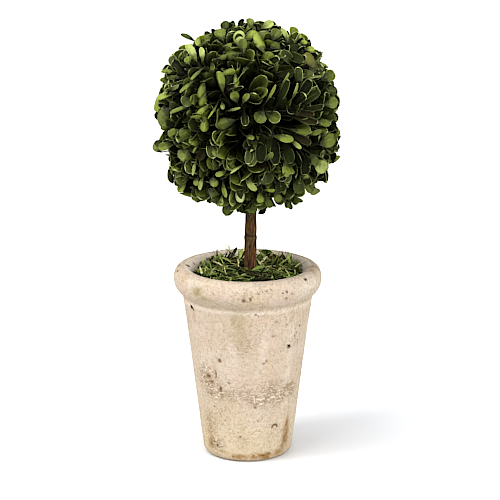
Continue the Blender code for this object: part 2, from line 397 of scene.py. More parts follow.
def bark_material():
    m = Nodes("boxwood_bark")
    fine = m.noise(820.0, 4.0, 0.62, vector=m.stretched((1.0, 1.0, 0.20)))
    big = m.noise(170.0, 3.0, 0.55, offset=(0.2, 0.4, 0.3))
    tone = m.ramp(fine, [(0.32, (0.034, 0.017, 0.008)), (0.50, (0.112, 0.060, 0.030)),
                         (0.68, (0.225, 0.140, 0.076))])
    tone = m.mix(m.range(big, 0.50, 0.66, 0.0, 0.7), tone, (0.120, 0.052, 0.034))
    drab = m.range(m.noise(130.0, 3.0, 0.55, offset=(0.7, 0.1, 0.6)), 0.50, 0.66, 0.0, 0.6)
    tone = m.mix(drab, tone, (0.110, 0.076, 0.028))
    glow = m.math("MULTIPLY", m.attr("ember"), m.range(fine, 0.35, 0.62, 0.35, 0.95))
    tone = m.mix(glow, tone, (0.260, 0.085, 0.020))
    tone = m.mix(m.attr("scar"), tone, (0.020, 0.010, 0.006))
    normal = m.bump(fine, 0.7, 0.0006)
    return m.finish(tone, m.range(big, 0.3, 0.7, 0.78, 0.94), normal, 0.12)


def twig_material(name, color):
    m = Nodes(name)
    n = m.range(m.noise(700.0, 3.0, 0.6), 0.3, 0.7, 0.65, 1.25)
    tone = m.mix(1.0, color, m.mix(n, (0.0, 0.0, 0.0), (1.0, 1.0, 1.0)), "MULTIPLY")
    return m.finish(tone, 0.75, m.bump(m.noise(1500.0, 2.0, 0.5), 0.3, 0.0003), 0.35)


def fibre_material(name, color):
    m = Nodes(name)
    n = m.range(m.noise(600.0, 3.0, 0.6), 0.3, 0.7, 0.72, 1.22)
    tone = m.mix(1.0, color, m.mix(n, (0.0, 0.0, 0.0), (1.0, 1.0, 1.0)), "MULTIPLY")
    return m.finish(tone, 0.8, m.bump(m.noise(2200.0, 2.0, 0.5), 0.3, 0.0002), 0.3)


# ----------------------------------------------------------------------- pot
def catmull(points, per):
    p = np.asarray(points, float)
    q = np.concatenate([[2 * p[0] - p[1]], p, [2 * p[-1] - p[-2]]])
    out = []
    for i in range(len(p) - 1):
        a, b, c, d = q[i:i + 4]
        t = np.linspace(0.0, 1.0, per, endpoint=False)[:, None]
        out.append(0.5 * (2 * b + (c - a) * t + (2 * a - 5 * b + 4 * c - d) * t ** 2
                          + (3 * b - 3 * c + d - a) * t ** 3))
    out.append(p[-1:])
    return np.concatenate(out)


def resample(points, step):
    """Points along a line at an even spacing near step."""
    d = np.linalg.norm(np.diff(points, axis=0), axis=1)
    s = np.concatenate([[0], np.cumsum(d)])
    n = max(2, int(round(s[-1] / step)) + 1)
    at = np.linspace(0, s[-1], n)
    return np.stack([np.interp(at, s, points[:, k]) for k in range(points.shape[1])], 1)


BASE_R, JOINT_R, JOINT_Z = 36.1, 52.8, 134.4


def side_radius(z):
    return BASE_R + (JOINT_R - BASE_R) * z / JOINT_Z


def pot_outline():
    """Rows (radius, height, kind) in mm. kind 0 inside, 1 rim, 2 side, 3 underside."""
    inside = np.array([(27.5, 12.0), (35.0, 75.0), (43.9, 143.0)])
    lip = [(44.3, 146.0), (45.0, 150.5), (45.7, 153.3), (48.2, 155.7), (51.8, 156.8),
           (55.0, 156.5), (57.9, 154.4), (59.4, 151.0), (59.8, 147.4), (59.6, 144.2),
           (58.7, 141.2), (57.0, 138.3), (54.9, 135.9), (53.3, 134.6), (52.6, 134.0)]
    rim = resample(catmull(lip, 12), 0.95)
    top = np.array([(52.55, 133.4), (side_radius(132.6), 132.6)])
    edge = []
    for a in np.linspace(-10, -90, 9):
        r = math.radians(a)
        edge.append((BASE_R - 5.2 + 5.6 * math.cos(r), 6.2 + 6.2 * math.sin(r)))
    edge = np.array(edge)
    side = resample(np.array([(side_radius(131.9), 131.9), edge[0]]), 0.84)
    under = np.array([(24.0, 0.0), (10.0, 0.0)])
    rows = [np.column_stack([inside, np.zeros(len(inside))]),
            np.column_stack([rim, np.ones(len(rim))]),
            np.column_stack([top, np.full(len(top), 2.0)]),
            np.column_stack([side, np.full(len(side), 2.0)]),
            np.column_stack([edge[1:], np.full(len(edge) - 1, 2.0)]),
            np.column_stack([under, np.full(len(under), 3.0)])]
    return np.concatenate(rows)


# marks on the pot: kind, degrees from the front (+ to the right), height,
# half-width, half-height and depth in mm, strength
# among these, the holes paint shade in their hollows, the arch paints the shadow under a pit's upper lip, the ochre
# marks under the rim paint shade on a flute wall and the pale marks paint light on the rim; the rest are the pot's
# own marks
POT_MARKS = [
    ("hole", -61, 128.6, 1.7, 1.5, 1.3, 1.0), ("pit", -57.8, 127.4, 1.3, 1.1, 0.8, 0.9),
    ("pit", 7.2, 129.8, 1.1, 0.7, 0.35, 0.50), ("pit", 9.6, 127.9, 0.7, 0.9, 0.30, 0.40),
    ("pit", -29, 88.2, 1.5, 1.7, 0.9, 0.75), ("pit", 16.0, 87.2, 1.2, 0.9, 0.6, 0.60),
    ("pit", 18.6, 89.4, 0.9, 1.0, 0.5, 0.60), ("hole", 44, 99.0, 1.3, 1.0, 0.9, 1.0), ("pit", 43.2, 98.2, 1.9, 1.3, 0.3, 0.7),
    ("pit", 41.8, 100.2, 0.8, 0.7, 0.4, 0.6), ("pit", 50.0, 106.6, 0.8, 1.2, 0.5, 0.7),
    ("pit", 52.0, 108.8, 0.9, 0.8, 0.4, 0.6), ("pit", 57, 113.7, 1.2, 0.8, 0.5, 0.8),
    ("pit", 56.2, 101.7, 0.9, 0.9, 0.3, 0.5), ("pit", -20, 70.0, 1.0, 0.9, 0.5, 0.6),
    ("pit", 8, 48.8, 0.8, 0.8, 0.5, 0.7), ("pit", -9, 22.8, 0.9, 0.9, 0.4, 0.7),
    ("pit", -40, 47.0, 0.9, 0.8, 0.4, 0.6), ("pit", 12.0, 37.0, 1.0, 1.3, 0.4, 0.35),
    ("arch", 34, 28.6, 2.6, 2.9, 0.7, 0.85),
    ("streak", 54.0, 22.5, 4.0, 13.0, 0.1, 1.0), ("rust", 50.0, 11.0, 2.6, 3.2, 0.1, 0.75),
    ("worn", -46, 70.0, 11.0, 11.0, 0.15, 1.0), ("rust", -46, 70.5, 6.5, 6.5, 0.25, 0.34),
    ("pit", -45, 72.5, 2.0, 1.4, 0.8, 0.65), ("pit", -41, 68.0, 1.4, 1.0, 0.7, 0.6),
    ("pit", -34.5, 76.0, 0.7, 3.4, 0.6, 0.65), ("pit", -30.0, 63.0, 1.1, 2.6, 0.6, 0.6),
    ("worn", -36, 60.0, 9.5, 7.5, 0.1, 0.9), ("worn", -48, 80.5, 6.0, 4.0, 0.1, 0.7),
    ("worn", 34, 57.0, 16.0, 7.0, 0.15, 0.70), ("worn", -12, 60.0, 14.0, 8.0, 0.1, 0.50), ("worn", 50, 60.0, 8.0, 7.0, 0.15, 1.0),
    ("worn", 12, 56.0, 10.0, 5.0, 0.1, 0.80), ("worn", 26, 64.5, 12.0, 6.5, 0.1, 0.58), ("worn", 24, 50.0, 11.0, 4.0, 0.1, 0.40), ("rust", 50, 62.0, 6.0, 4.0, 0.1, 0.25),
    ("worn", -44, 12.0, 7.0, 8.0, 0.1, 0.9), ("worn", -50, 30.0, 7.0, 11.0, 0.1, 0.65), ("rust", -50, 27.0, 6.0, 10.0, 0.1, 0.34), ("pit", -42, 12.0, 1.1, 1.3, 0.6, 0.8),
    ("pit", -46, 15.0, 1.0, 0.8, 0.4, 0.6), ("rust", -54, 13.0, 3.5, 7.0, 0.1, 0.75),
    ("rust", 24, 5.0, 8.0, 3.0, 0.25, 1.0), ("pit", 20, 5.4, 1.6, 0.9, 0.4, 0.6),
    ("pit", 29, 6.4, 1.3, 0.9, 0.4, 0.7), ("rust", 11, 5.6, 7.0, 2.6, 0.1, 0.95),
    ("rust", -10, 5.0, 7.0, 2.2, 0.1, 0.85), ("rust", 42, 6.0, 7.0, 2.6, 0.1, 0.80),
    ("pit", -19, 4.6, 1.0, 0.7, 0.4, 0.7), ("rust", -30, 7.0, 5.0, 2.0, 0.1, 0.40),
    ("olive", -42, 146.5, 5.0, 3.6, 0.0, 0.85), ("olive", -36, 141.5, 6.0, 2.6, 0.0, 0.50),
    ("ochre", -9, 124.0, 6.0, 8.5, 0.0, 0.72), ("ochre", -8, 114.0, 5.5, 10.0, 0.0, 0.62), ("ochre", -6, 24.0, 2.0, 13.0, 0.0, 0.42),
    ("pit", -3.0, 143.2, 1.3, 1.6, 0.5, 0.75), ("pit", 2.2, 144.4, 0.9, 1.5, 0.5, 0.80),
    ("pit", 3.6, 146.6, 0.8, 1.0, 0.4, 0.50), ("hole", 8.5, 148.8, 0.7, 0.6, 0.3, 0.7),
    ("hole", 11.4, 150.4, 0.7, 0.6, 0.3, 0.7), ("hole", 14.6, 150.9, 0.7, 0.6, 0.3, 0.7),
    ("hole", 18.6, 151.6, 0.6, 0.6, 0.3, 0.6), ("hole", 27.8, 147.8, 0.9, 0.7, 0.4, 0.8),
    ("hole", 31.3, 148.3, 0.8, 0.7, 0.4, 0.8), ("pit", 36, 146.2, 1.2, 0.8, 0.4, 0.4),
    ("pit", 31, 143.0, 1.2, 1.0, 0.4, 0.45), ("pit", -27, 147.0, 0.8, 0.9, 0.3, 0.45),
    ("hole", 53.0, 154.2, 1.8, 0.9, 0.6, 0.85), ("hole", -86, 151.8, 1.6, 1.3, 0.9, 1.0),
    ("hole", -80, 154.4, 1.2, 0.8, 0.5, 0.9), ("pit", -93, 155.6, 2.2, 0.9, 0.6, 0.9),
    ("rust", 72, 156.0, 4.0, 4.0, 0.2, 0.40), ("rust", 86, 155.6, 4.0, 4.0, 0.3, 0.45),
    ("rust", -60, 154.0, 3.0, 3.0, 0.1, 0.20), ("rust", 34, 142.0, 6.0, 2.0, 0.0, 0.25),
    ("rust", 60, 143.0, 5.0, 3.0, 0.0, 0.20), ("pit", 27, 122.0, 1.6, 0.6, 0.3, 0.45),
    ("pit", 25, 110.0, 2.0, 0.7, 0.3, 0.40), ("pit", 38, 118.0, 1.2, 0.9, 0.3, 0.45),
    ("pale", 58, 150.0, 15.0, 6.0, 0.0, 0.80), ("pale", -48, 151.0, 10.0, 5.0, 0.0, 0.40),
    ("rust", 44, 126.0, 2.2, 6.0, 0.0, 0.32), ("rust", -57, 122.0, 2.0, 5.0, 0.0, 0.30),
]


def back_marks():
    """The side away from the photograph is worn in the same ways."""
    rng = np.random.default_rng(4127)
    out = []
    for k in range(46):
        a = 95.0 + 170.0 * rng.uniform()
        z = rng.uniform(6.0, 128.0)
        s = 0.5 + 0.9 * rng.uniform() ** 2
        kind = "hole" if rng.uniform() < 0.12 else "pit"
        out.append((kind, a, z, s, s * rng.uniform(0.6, 1.3), 0.5 * s, rng.uniform(0.30, 0.80)))
    for k in range(17):
        out.append(("pit", 100.0 + 160.0 * rng.uniform(), rng.uniform(141.0, 155.5), rng.uniform(0.7, 1.7),
                    rng.uniform(0.6, 1.2), 0.4, rng.uniform(0.4, 0.9)))
    for a, z, w, h in ((120, 44, 13, 7), (150, 92, 9, 6), (196, 60, 15, 8), (236, 34, 8, 9), (250, 104, 8, 5),
                       (100, 84, 7, 5), (176, 18, 9, 4), (214, 116, 7, 4)):
        out.append(("worn", a, z, 1.25 * w, 1.25 * h, 0.12, rng.uniform(0.55, 0.85)))
        out.append(("rust", a + rng.uniform(-5, 5), z + rng.uniform(-3, 3), 0.5 * w, 0.6 * h, 0.1,
                    rng.uniform(0.10, 0.26)))
    for a, w, k in ((95, 6, 0.5), (118, 5, 0.8), (150, 6, 0.5), (188, 7, 0.9), (215, 4, 0.6), (250, 6, 0.7),
                    (277, 4, 0.5)):
        out.append(("rust", a, 5.4, w, 2.0, 0.15, k))
    for a, z in ((140, 20.0), (232, 40.0)):
        out.append(("streak", a, z, 1.8, 10.0, 0.1, 0.75))
    for a, z, w in ((128, 146.0, 5.0), (205, 143.5, 6.0), (262, 147.0, 4.5)):
        out.append(("olive", a, z, w, 3.0, 0.0, 0.5))
    out += [("pit", 168.0, 74.0, 1.6, 1.3, 0.6, 0.7), ("pit", 222.0, 82.0, 1.2, 0.9, 0.35, 0.5)]
    return out


def make_pot(clay):
    rows = pot_outline()
    nr, na = len(rows), 410
    ang = np.arange(na) * 2 * math.pi / na - math.pi / 2      # 0 is the front
    deg = np.degrees(ang) + 90.0
    deg = (deg + 180.0) % 360.0 - 180.0
    R, A = np.meshgrid(rows[:, 0], ang, indexing="ij")
    Z, _ = np.meshgrid(rows[:, 1], ang, indexing="ij")
    K, DEG = np.meshgrid(rows[:, 2], deg, indexing="ij")
    d = np.gradient(rows[:, :2], axis=0)
    nrm = unit(np.stack([-d[:, 1], d[:, 0]], 1))
    P = np.stack([R * np.cos(A), R * np.sin(A), Z], -1).reshape(-1, 3) * MM
    R, Z, K, DEG, A = (x.ravel() for x in (R, Z, K, DEG, A))
    NR = np.repeat(nrm[:, 0], na)
    NZ = np.repeat(nrm[:, 1], na)
    out = (K == 1) | (K == 2)
    h = np.zeros(len(P))
    # cast unevenness
    h += 0.26 * fbm(P, 22.0, 2, 3)
    h += 0.16 * fbm(P, 90.0, 3, 9)
    # flutes with arched tops under the rim
    wave = 0.5 - 0.5 * np.cos(np.radians(12.0 * (DEG + 15.0)))
    wave = wave ** 0.8
    arch = 127.0 - 5.0 * (1.0 - wave) + 1.5 * fbm(P, 40.0, 2, 5)
    side = (K == 2)
    fade = smoothstep(3.0, -9.0, Z - arch) * smoothstep(2.0, 20.0, Z)
    uneven = 0.75 + 0.35 * fbm(P, 30.0, 2, 21)
    h += np.where(side, (0.40 - 0.85 * wave) * fade * uneven, 0.0)
    # painted highlight: the flute ridges under the arches and the bead just below the rim joint are lightened; the
    # patches added after them are the clay's own paler tone
    ridge = np.where(side, smoothstep(0.45, 0.0, wave) * smoothstep(4.0, -14.0, Z - arch), 0.0)
    pale = 0.55 * ridge * smoothstep(-0.35, 0.35, fbm(P, 28.0, 3, 91)) * smoothstep(28.0, 62.0, Z)
    collar = np.where(side, np.exp(-((Z - 130.6) / 1.6) ** 2), 0.0)
    pale = np.maximum(pale, 0.8 * collar)
    pale = np.maximum(pale, 0.5 * smoothstep(0.35, 0.75, fbm(P, 36.0, 3, 97)))
    # painted light: the top and inner slope of the lip are lightened where the crown shades them
    lip = (K == 1) & (R < 52.0)
    pale = np.maximum(pale, np.where(lip, 0.95 * smoothstep(145.0, 150.0, Z), 0.0))
    # worn bands where the skin is rough and wrinkled
    worn = np.zeros(len(P))
    wr = fbm(P, 60.0, 3, 31)
    worn = np.where(side, 0.40 * smoothstep(0.22, 0.60, wr), smoothstep(0.35, 0.7, wr) * 0.35)
    h += worn * 0.20 * fbm(P, 460.0, 2, 41)
    rough = np.where(side, 0.58 + 0.36 * fbm(P, 24.0, 3, 131) - 0.20 * smoothstep(70.0, 120.0, Z),
                     0.42 + 0.34 * fbm(P, 30.0, 3, 132)) + 0.25 * worn
    rough = np.clip(rough, 0.15, 1.0)
    # painted shade: darker on the slanted underside of the rim and along the joint under it, a little in the bowls
    # of the flutes, and further down inside the mouth
    painted_shade = np.where((K == 1) & (Z < 144.0) & (R > 50.0), smoothstep(143.0, 136.5, Z), 0.0)
    painted_shade = painted_shade * (0.50 + 0.25 * fbm(P, 50.0, 3, 111))
    painted_shade = np.maximum(painted_shade, np.where(side, 0.9 * np.exp(-((Z - 133.2) / 0.8) ** 2), 0.0))
    painted_shade = np.maximum(painted_shade, np.where(side, 0.07 * wave * fade, 0.0))
    inside = (K == 0) | ((K == 1) & (R < 47.0))
    painted_shade = np.maximum(painted_shade, np.where(inside, 0.04 * smoothstep(154.0, 146.0, Z), 0.0))
    h -= 0.16 * smoothstep(0.45, 0.85, fbm(P, 330.0, 2, 47))
    h += 0.05 * fbm(P, 700.0, 2, 53)
    earth = np.where(side, smoothstep(64.0, 14.0, Z + 14.0 * fbm(P, 26.0, 2, 141)), 0.0)
    rust = np.zeros(len(P))
    olive = np.zeros(len(P))
    dark = np.zeros(len(P))
    brown = np.zeros(len(P))
    rust += np.where(side, smoothstep(8.0, 1.0, Z + 5.0 * fbm(P, 60.0, 3, 61)) * 0.27, 0.0)
    for kind, d0, z0, hw, hh, deep, k in POT_MARKS + back_marks():
        dd = (DEG - d0 + 180.0) % 360.0 - 180.0
        if kind in ("hole", "pit"):
            hw, hh = 1.3 * hw, 1.3 * hh
        u = np.radians(dd) * R / hw
        v = (Z - z0) / hh
        if kind in ("hole", "pit", "chip"):
            w = np.exp(-(u * u + v * v) ** 1.4)
        elif kind == "arch":
            ring = np.abs(np.sqrt(u * u + v * v) - 1.0) / 0.35
            w = np.exp(-ring ** 2) * smoothstep(-0.3, 0.3, v)
        elif kind == "streak":
            u = u / np.clip(1.05 - 0.55 * v, 0.35, 1.5)
            w = np.exp(-u ** 2 - np.abs(v) ** 3.5)
        else:
            w = np.exp(-(u * u + v * v)) * (1.0 + 0.5 * fbm(P, 150.0, 3, 71))
            w = np.clip(w * 1.4, 0.0, 1.0)
        w = np.where(out, w, 0.0)
        h -= deep * w
        # holes: drawn near black as painted shade in their hollows
        if kind in ("hole",):
            dark = np.maximum(dark, smoothstep(0.35, 0.75, w) * k)
        # pits leave brown specks; the arch's brown crescent paints the shadow under the upper lip of a pit
        elif kind in ("pit", "arch"):
            broken = 1.0 if kind == "pit" else smoothstep(-0.9, 0.0, fbm(P, 380.0, 2, 87))
            brown = np.maximum(brown, smoothstep(0.25, 0.85, w) * k * broken)
        elif kind in ("chip", "rust", "streak"):
            rust = np.maximum(rust, w * k)
            if kind == "streak":
                brown = np.maximum(brown, 0.40 * w * smoothstep(-0.7, 0.2, fbm(P, 300.0, 2, 89)))
        elif kind == "olive":
            olive = np.maximum(olive, w * k)
        # ochre marks: an olive-brown tint; under the rim it paints shade on the wall of a flute
        elif kind == "ochre":
            olive = np.maximum(olive, 0.42 * w * k)
            rust = np.maximum(rust, 0.12 * w * k)
        # pale marks: painted light on the rim
        elif kind == "pale":
            pale = np.maximum(pale, w * k)
        elif kind == "worn":
            worn = np.maximum(worn, w * k)
            q = P * np.array([1.0, 1.0, 1.9]) + np.stack([P[:, 2] * 0.3, 0 * R, 0 * R], 1)
            h += w * k * 0.30 * fbm(q, 330.0, 2, 83)
    flat = np.where(K == 3, 0.0, 1.0) * smoothstep(0.0, 4.0, np.where(K == 0, 9.0, Z))
    h *= flat
    h = np.where(K == 0, h * 0.3, h)
    P[:, 0] += NR * h * MM * np.cos(A)
    P[:, 1] += NR * h * MM * np.sin(A)
    P[:, 2] += NZ * h * MM
    P[:, 2] = np.maximum(P[:, 2], 0.0)
    i = np.arange(nr - 1)[:, None] * na
    j = np.arange(na)[None, :]
    j2 = (j + 1) % na
    quads = np.stack([i + j, i + na + j, i + na + j2, i + j2], -1).reshape(-1, 4)
    c0, c1 = len(P), len(P) + 1
    P = np.concatenate([P, [[0, 0, rows[0, 1] * MM]], [[0, 0, 0]]])
    j = np.arange(na)
    last = (nr - 1) * na
    tris = np.concatenate([np.stack([np.full(na, c0), j, (j + 1) % na], 1),
                           np.stack([np.full(na, c1), last + (j + 1) % na, last + j], 1)])
    ob = mesh_object("clay_pot", P, [quads, tris], [clay])
    print("pot triangles", 2 * len(quads) + len(tris))
    for name, values in (("worn", worn), ("rust", rust), ("olive", olive), ("dark", dark), ("brown", brown),
                         ("pale", pale), ("painted_shade", painted_shade), ("rough", rough), ("earth", earth)):
        attribute(ob, name, np.concatenate([np.clip(values, 0, 1), [0, 0]]))
    return ob


# ---------------------------------------------------------------------- stem
def stem_line(z):
    t = (z - FILL_TOP) / (FORK_Z - FILL_TOP)
    x = STEM_X + STEM_LEAN * smoothstep(0.0, 1.0, t)
    return x


def make_trunk(bark):
    na, nz = 64, 210
    z = np.linspace(FILL_TOP + 0.0003, FORK_Z, nz)
    t = (z - z[0]) / (z[-1] - z[0])
    r = 0.0048 + (0.0042 - 0.0048) * t + 0.0008 * np.exp(-(z - z[0]) / 0.0075)
    r = r * np.where(t > 0.97, 1.0 - 0.35 * ((t - 0.97) / 0.03) ** 2, 1.0)
    a = np.arange(na) * 2 * math.pi / na
    Zg, Ag = np.meshgrid(z, a, indexing="ij")
    Rg = np.repeat(r[:, None], na, 1)
    P = np.stack([np.cos(Ag) * 0.0045, np.sin(Ag) * 0.0045, Zg], -1).reshape(-1, 3)
    Zf = Zg.ravel()
    q = P * np.array([1.0, 1.0, 0.28])
    h = 0.00034 * fbm(q, 420.0, 3, 5) + 0.00022 * fbm(P, 120.0, 2, 8)
    crack = fbm(P * np.array([1.0, 1.0, 0.12]), 650.0, 2, 12)
    h -= 0.00030 * smoothstep(0.25, 0.6, crack)
    for zk, ak, rk in ((0.168, 3.9, 0.0016), (0.183, 5.6, 0.0013), (0.199, 4.6, 0.0015),
                       (0.176, 1.2, 0.0014), (0.192, 2.4, 0.0013)):
        da = (Ag.ravel() - ak + math.pi) % (2 * math.pi) - math.pi
        h += 0.0006 * np.exp(-((da * 0.0045) ** 2 + (Zf - zk) ** 2) / rk ** 2)
    # a ring scar where a pair of side shoots was cut away
    Af = Ag.ravel()
    ring = np.exp(-((Zf - 0.1822 - 0.0006 * np.sin(2.0 * Af + 0.5)) / 0.0007) ** 2)
    ring = ring * (0.55 + 0.45 * smoothstep(-0.4, 0.3, fbm(P, 300.0, 2, 19)))
    h += 0.00045 * np.exp(-((Zf - 0.1800) / 0.0016) ** 2) - 0.00035 * ring
    scar = np.clip(0.80 * ring + 0.7 * smoothstep(0.35, 0.7, crack), 0.0, 1.0)
    ember = np.zeros(len(P))
    for a0, w0, k0 in ((-0.50, 0.40, 1.0), (1.30, 0.45, 0.8), (3.00, 0.40, 0.7)):
        da = (Af - a0 + math.pi) % (2 * math.pi) - math.pi
        ember += k0 * np.exp(-(da / w0) ** 2) * smoothstep(-0.45, 0.25, fbm(q, 160.0, 2, 23))
    ember += 0.5 * smoothstep(0.158, 0.149, Zf)
    keep = smoothstep(FILL_TOP + 0.0003, FILL_TOP + 0.003, Zf)
    rr = Rg.ravel() + h * keep
    P[:, 0] = stem_line(Zf) + np.cos(Ag.ravel()) * rr
    P[:, 1] = np.sin(Ag.ravel()) * rr
    i = np.arange(nz - 1)[:, None] * na
    j = np.arange(na)[None, :]
    quads = np.stack([i + j, i + (j + 1) % na, i + na + (j + 1) % na, i + na + j], -1).reshape(-1, 4)
    c0, c1 = len(P), len(P) + 1
    P = np.concatenate([P, [[stem_line(z[0]), 0, z[0]]], [[stem_line(z[-1]), 0, z[-1] + 0.0006]]])
    j = np.arange(na)
    last = (nz - 1) * na
    tris = np.concatenate([np.stack([np.full(na, c0), (j + 1) % na, j], 1),
                           np.stack([np.full(na, c1), last + j, last + (j + 1) % na], 1)])
    ob = mesh_object("trunk_bark", P, [quads, tris], [bark])
    attribute(ob, "ember", np.concatenate([np.clip(ember, 0, 1), [0, 0]]))
    attribute(ob, "scar", np.concatenate([scar, [0, 0]]))
    return ob


# --------------------------------------------------------------------- leaves
LEAF_MID = 0.61
FINE = (np.array([0.0, 0.10, 0.24, 0.38, 0.54, 0.70, 0.85, 0.955, 1.0]),
        np.array([-1.0, -0.90, -0.48, -0.055, 0.055, 0.48, 0.90, 1.0]))
PLAIN = (np.array([0.0, 0.14, 0.34, 0.58, 0.80, 0.94, 1.0]),
         np.array([-1.0, -0.86, 0.0, 0.86, 1.0]))


def leaf_width(s):
    """Half-width along an obovate leaf with a round tip, as a share of its widest."""
    m = LEAF_MID
    low = np.sin(0.5 * np.pi * np.clip(s / m, 0.0, 1.0)) ** 1.02
    high = np.sqrt(np.clip(1.0 - (np.clip(s - m, 0.0, 1.0) / (1.0 - m)) ** 2.3, 0.0, 1.0))
    return np.maximum(np.where(s < m, low, high), np.where(s < 0.3, 0.075, 0.06))


def leaf_template(rows, cols):
    """Faces of one leaf. Kinds: 0 upper, 1 lower, 2 margin, 3 midrib, 4 foot, 5 lower foot, 6 waist."""
    ns, nt = len(rows), len(cols)
    top = np.arange(ns * nt).reshape(ns, nt)
    low = top.copy()
    n = ns * nt
    for i in range(1, ns - 1):
        for j in range(1, nt - 1):
            low[i, j] = n
            n += 1
    quads, kind = [], []
    for i in range(ns - 1):
        for j in range(nt - 1):
            foot = rows[i + 1] < 0.42
            waist = not foot and rows[i + 1] < 0.60
            edge = (j in (0, nt - 2) and not foot) or i == ns - 2
            rib = nt == 8 and j == 3 and 1 <= i < ns - 3
            quads.append((top[i, j], top[i, j + 1], top[i + 1, j + 1], top[i + 1, j]))
            kind.append(2 if edge else 3 if rib else 4 if foot else 6 if waist else 0)
            quads.append((low[i, j], low[i + 1, j], low[i + 1, j + 1], low[i, j + 1]))
            kind.append(2 if edge else 5 if foot else 1)
    inner = [(i, j) for i in range(1, ns - 1) for j in range(1, nt - 1)]
    return np.array(quads), np.array(kind), np.array(inner), n


def build_leaves(shape, L, W, cup, bend, wave, base, D, N, phase, bare):
    """Vertices (leaves, points, 3) for leaves at base, along D, upper face N."""
    rows, cols = shape
    k = len(L)
    s = rows[None, :, None]
    t = cols[None, None, :]
    L, W, cup, bend, wave, phase = (x[:, None, None] for x in (L, W, cup, bend, wave, phase))
    w = W * leaf_width(s)
    along = s - 0.012 * s ** 8 * (1.0 - t ** 2)
    a = bend * (along - 0.15)
    b = np.where(np.abs(bend) < 1e-3, 1e-3, bend)
    a0 = -0.15 * b
    cx = L * (np.sin(a) - np.sin(a0)) / b
    cz = L * (np.cos(a0) - np.cos(a)) / b
    c = np.where(np.abs(cup) < 1e-3, 1e-3, cup) * (0.35 + 0.65 * np.sin(np.pi * np.clip(s, 0.05, 1.0) ** 0.8) ** 0.6)
    ph = c * t
    side = w * np.sin(ph) / c
    lift = 0.55 * w * (1 - np.cos(ph)) / c + 0.36 * w * c * (np.sqrt(t * t + 0.0025) - 0.05)
    lift = lift + wave * w * t ** 2 * np.sin(2 * np.pi * (1.3 * s) + phase + 1.7 * np.sign(t))
    crease = np.exp(-(t / 0.2) ** 2) * np.sin(np.pi * s) ** 0.5 * 0.045 * W
    thick = 0.00020 + 0.00012 * (1 - t ** 2)
    thick = thick * np.where((np.abs(t) >= 1.0) | (s <= 0) | (s >= 1), 0.0, 1.0)
    ca, sa = np.cos(a), np.sin(a)

    def place(up):
        x = cx - sa * up
        z = cz + ca * up
        S = np.cross(D, N)
        return (base[:, None, None, :] + D[:, None, None, :] * x[..., None]
                + N[:, None, None, :] * z[..., None] + S[:, None, None, :] * (side + 0 * x)[..., None])

    top = place(lift - crease + thick / 2)
    low = place(lift - crease * 1.6 - thick / 2)
    inner = leaf_template(rows, cols)[2]
    V = np.concatenate([top.reshape(k, -1, 3), low[:, inner[:, 0], inner[:, 1]]], 1)
    # painted light and shade: a leaf is darker at its foot and deep in the ball, falling off more steeply on the
    # left of the ball, darker where a dome falls away, and darker in the hollow of a cup and lighter at its rim
    S, T = np.meshgrid(rows, cols, indexing="ij")
    S, T = (np.concatenate([g.ravel(), g[inner[:, 0], inner[:, 1]]])[None] for g in (S, T))
    out = V.reshape(-1, 3) - CROWN_C
    sunk = (np.linalg.norm(out, axis=1) - envelope(unit(out))).reshape(k, -1)
    reach = np.where(bare[:, None] > 1, S + 0.07, S)
    painted_shade_and_veins = 0.20 + 1.16 * smoothstep(0.12, 1.06, reach)
    side_ = (0.5 - 0.5 * np.clip(1.3 * unit(out)[:, 0], -1.0, 1.0)).reshape(k, -1)
    deep = smoothstep(0.0, 1.0, (sunk + 0.0110 - 0.0030 * side_) / (0.0120 - 0.0025 * side_))
    painted_shade_and_veins = painted_shade_and_veins * (0.66 - 0.24 * side_ + (0.48 + 0.38 * side_) * deep)
    painted_shade_and_veins = painted_shade_and_veins * np.where(cup[:, :, 0] < 0.0, 1.12 - 0.62 * T ** 2, 0.86 + 0.20 * T ** 2)
    # painted light and shade: one half of a leaf is lighter than the other and its tip or its foot lighter at
    # random, and the leaves that stand out a little lighter still
    turn = phase[:, :, 0]
    painted_shade_and_veins = painted_shade_and_veins * (1.0 + 0.42 * np.sin(3.1 * turn) * np.clip(T * 1.6, -1.0, 1.0))
    painted_shade_and_veins = painted_shade_and_veins * (1.0 + 0.30 * np.cos(5.3 * turn) * (S - 0.6))
    painted_shade_and_veins = painted_shade_and_veins * np.where(bare[:, None] > 1, 1.12, 1.0)
    # side veins run forward from the midrib
    painted_shade_and_veins = painted_shade_and_veins * (1.0 + 0.13 * np.cos(2 * np.pi * (3.3 * S - 0.8 * np.abs(T)) + 2.0 * turn))
    return V, painted_shade_and_veins


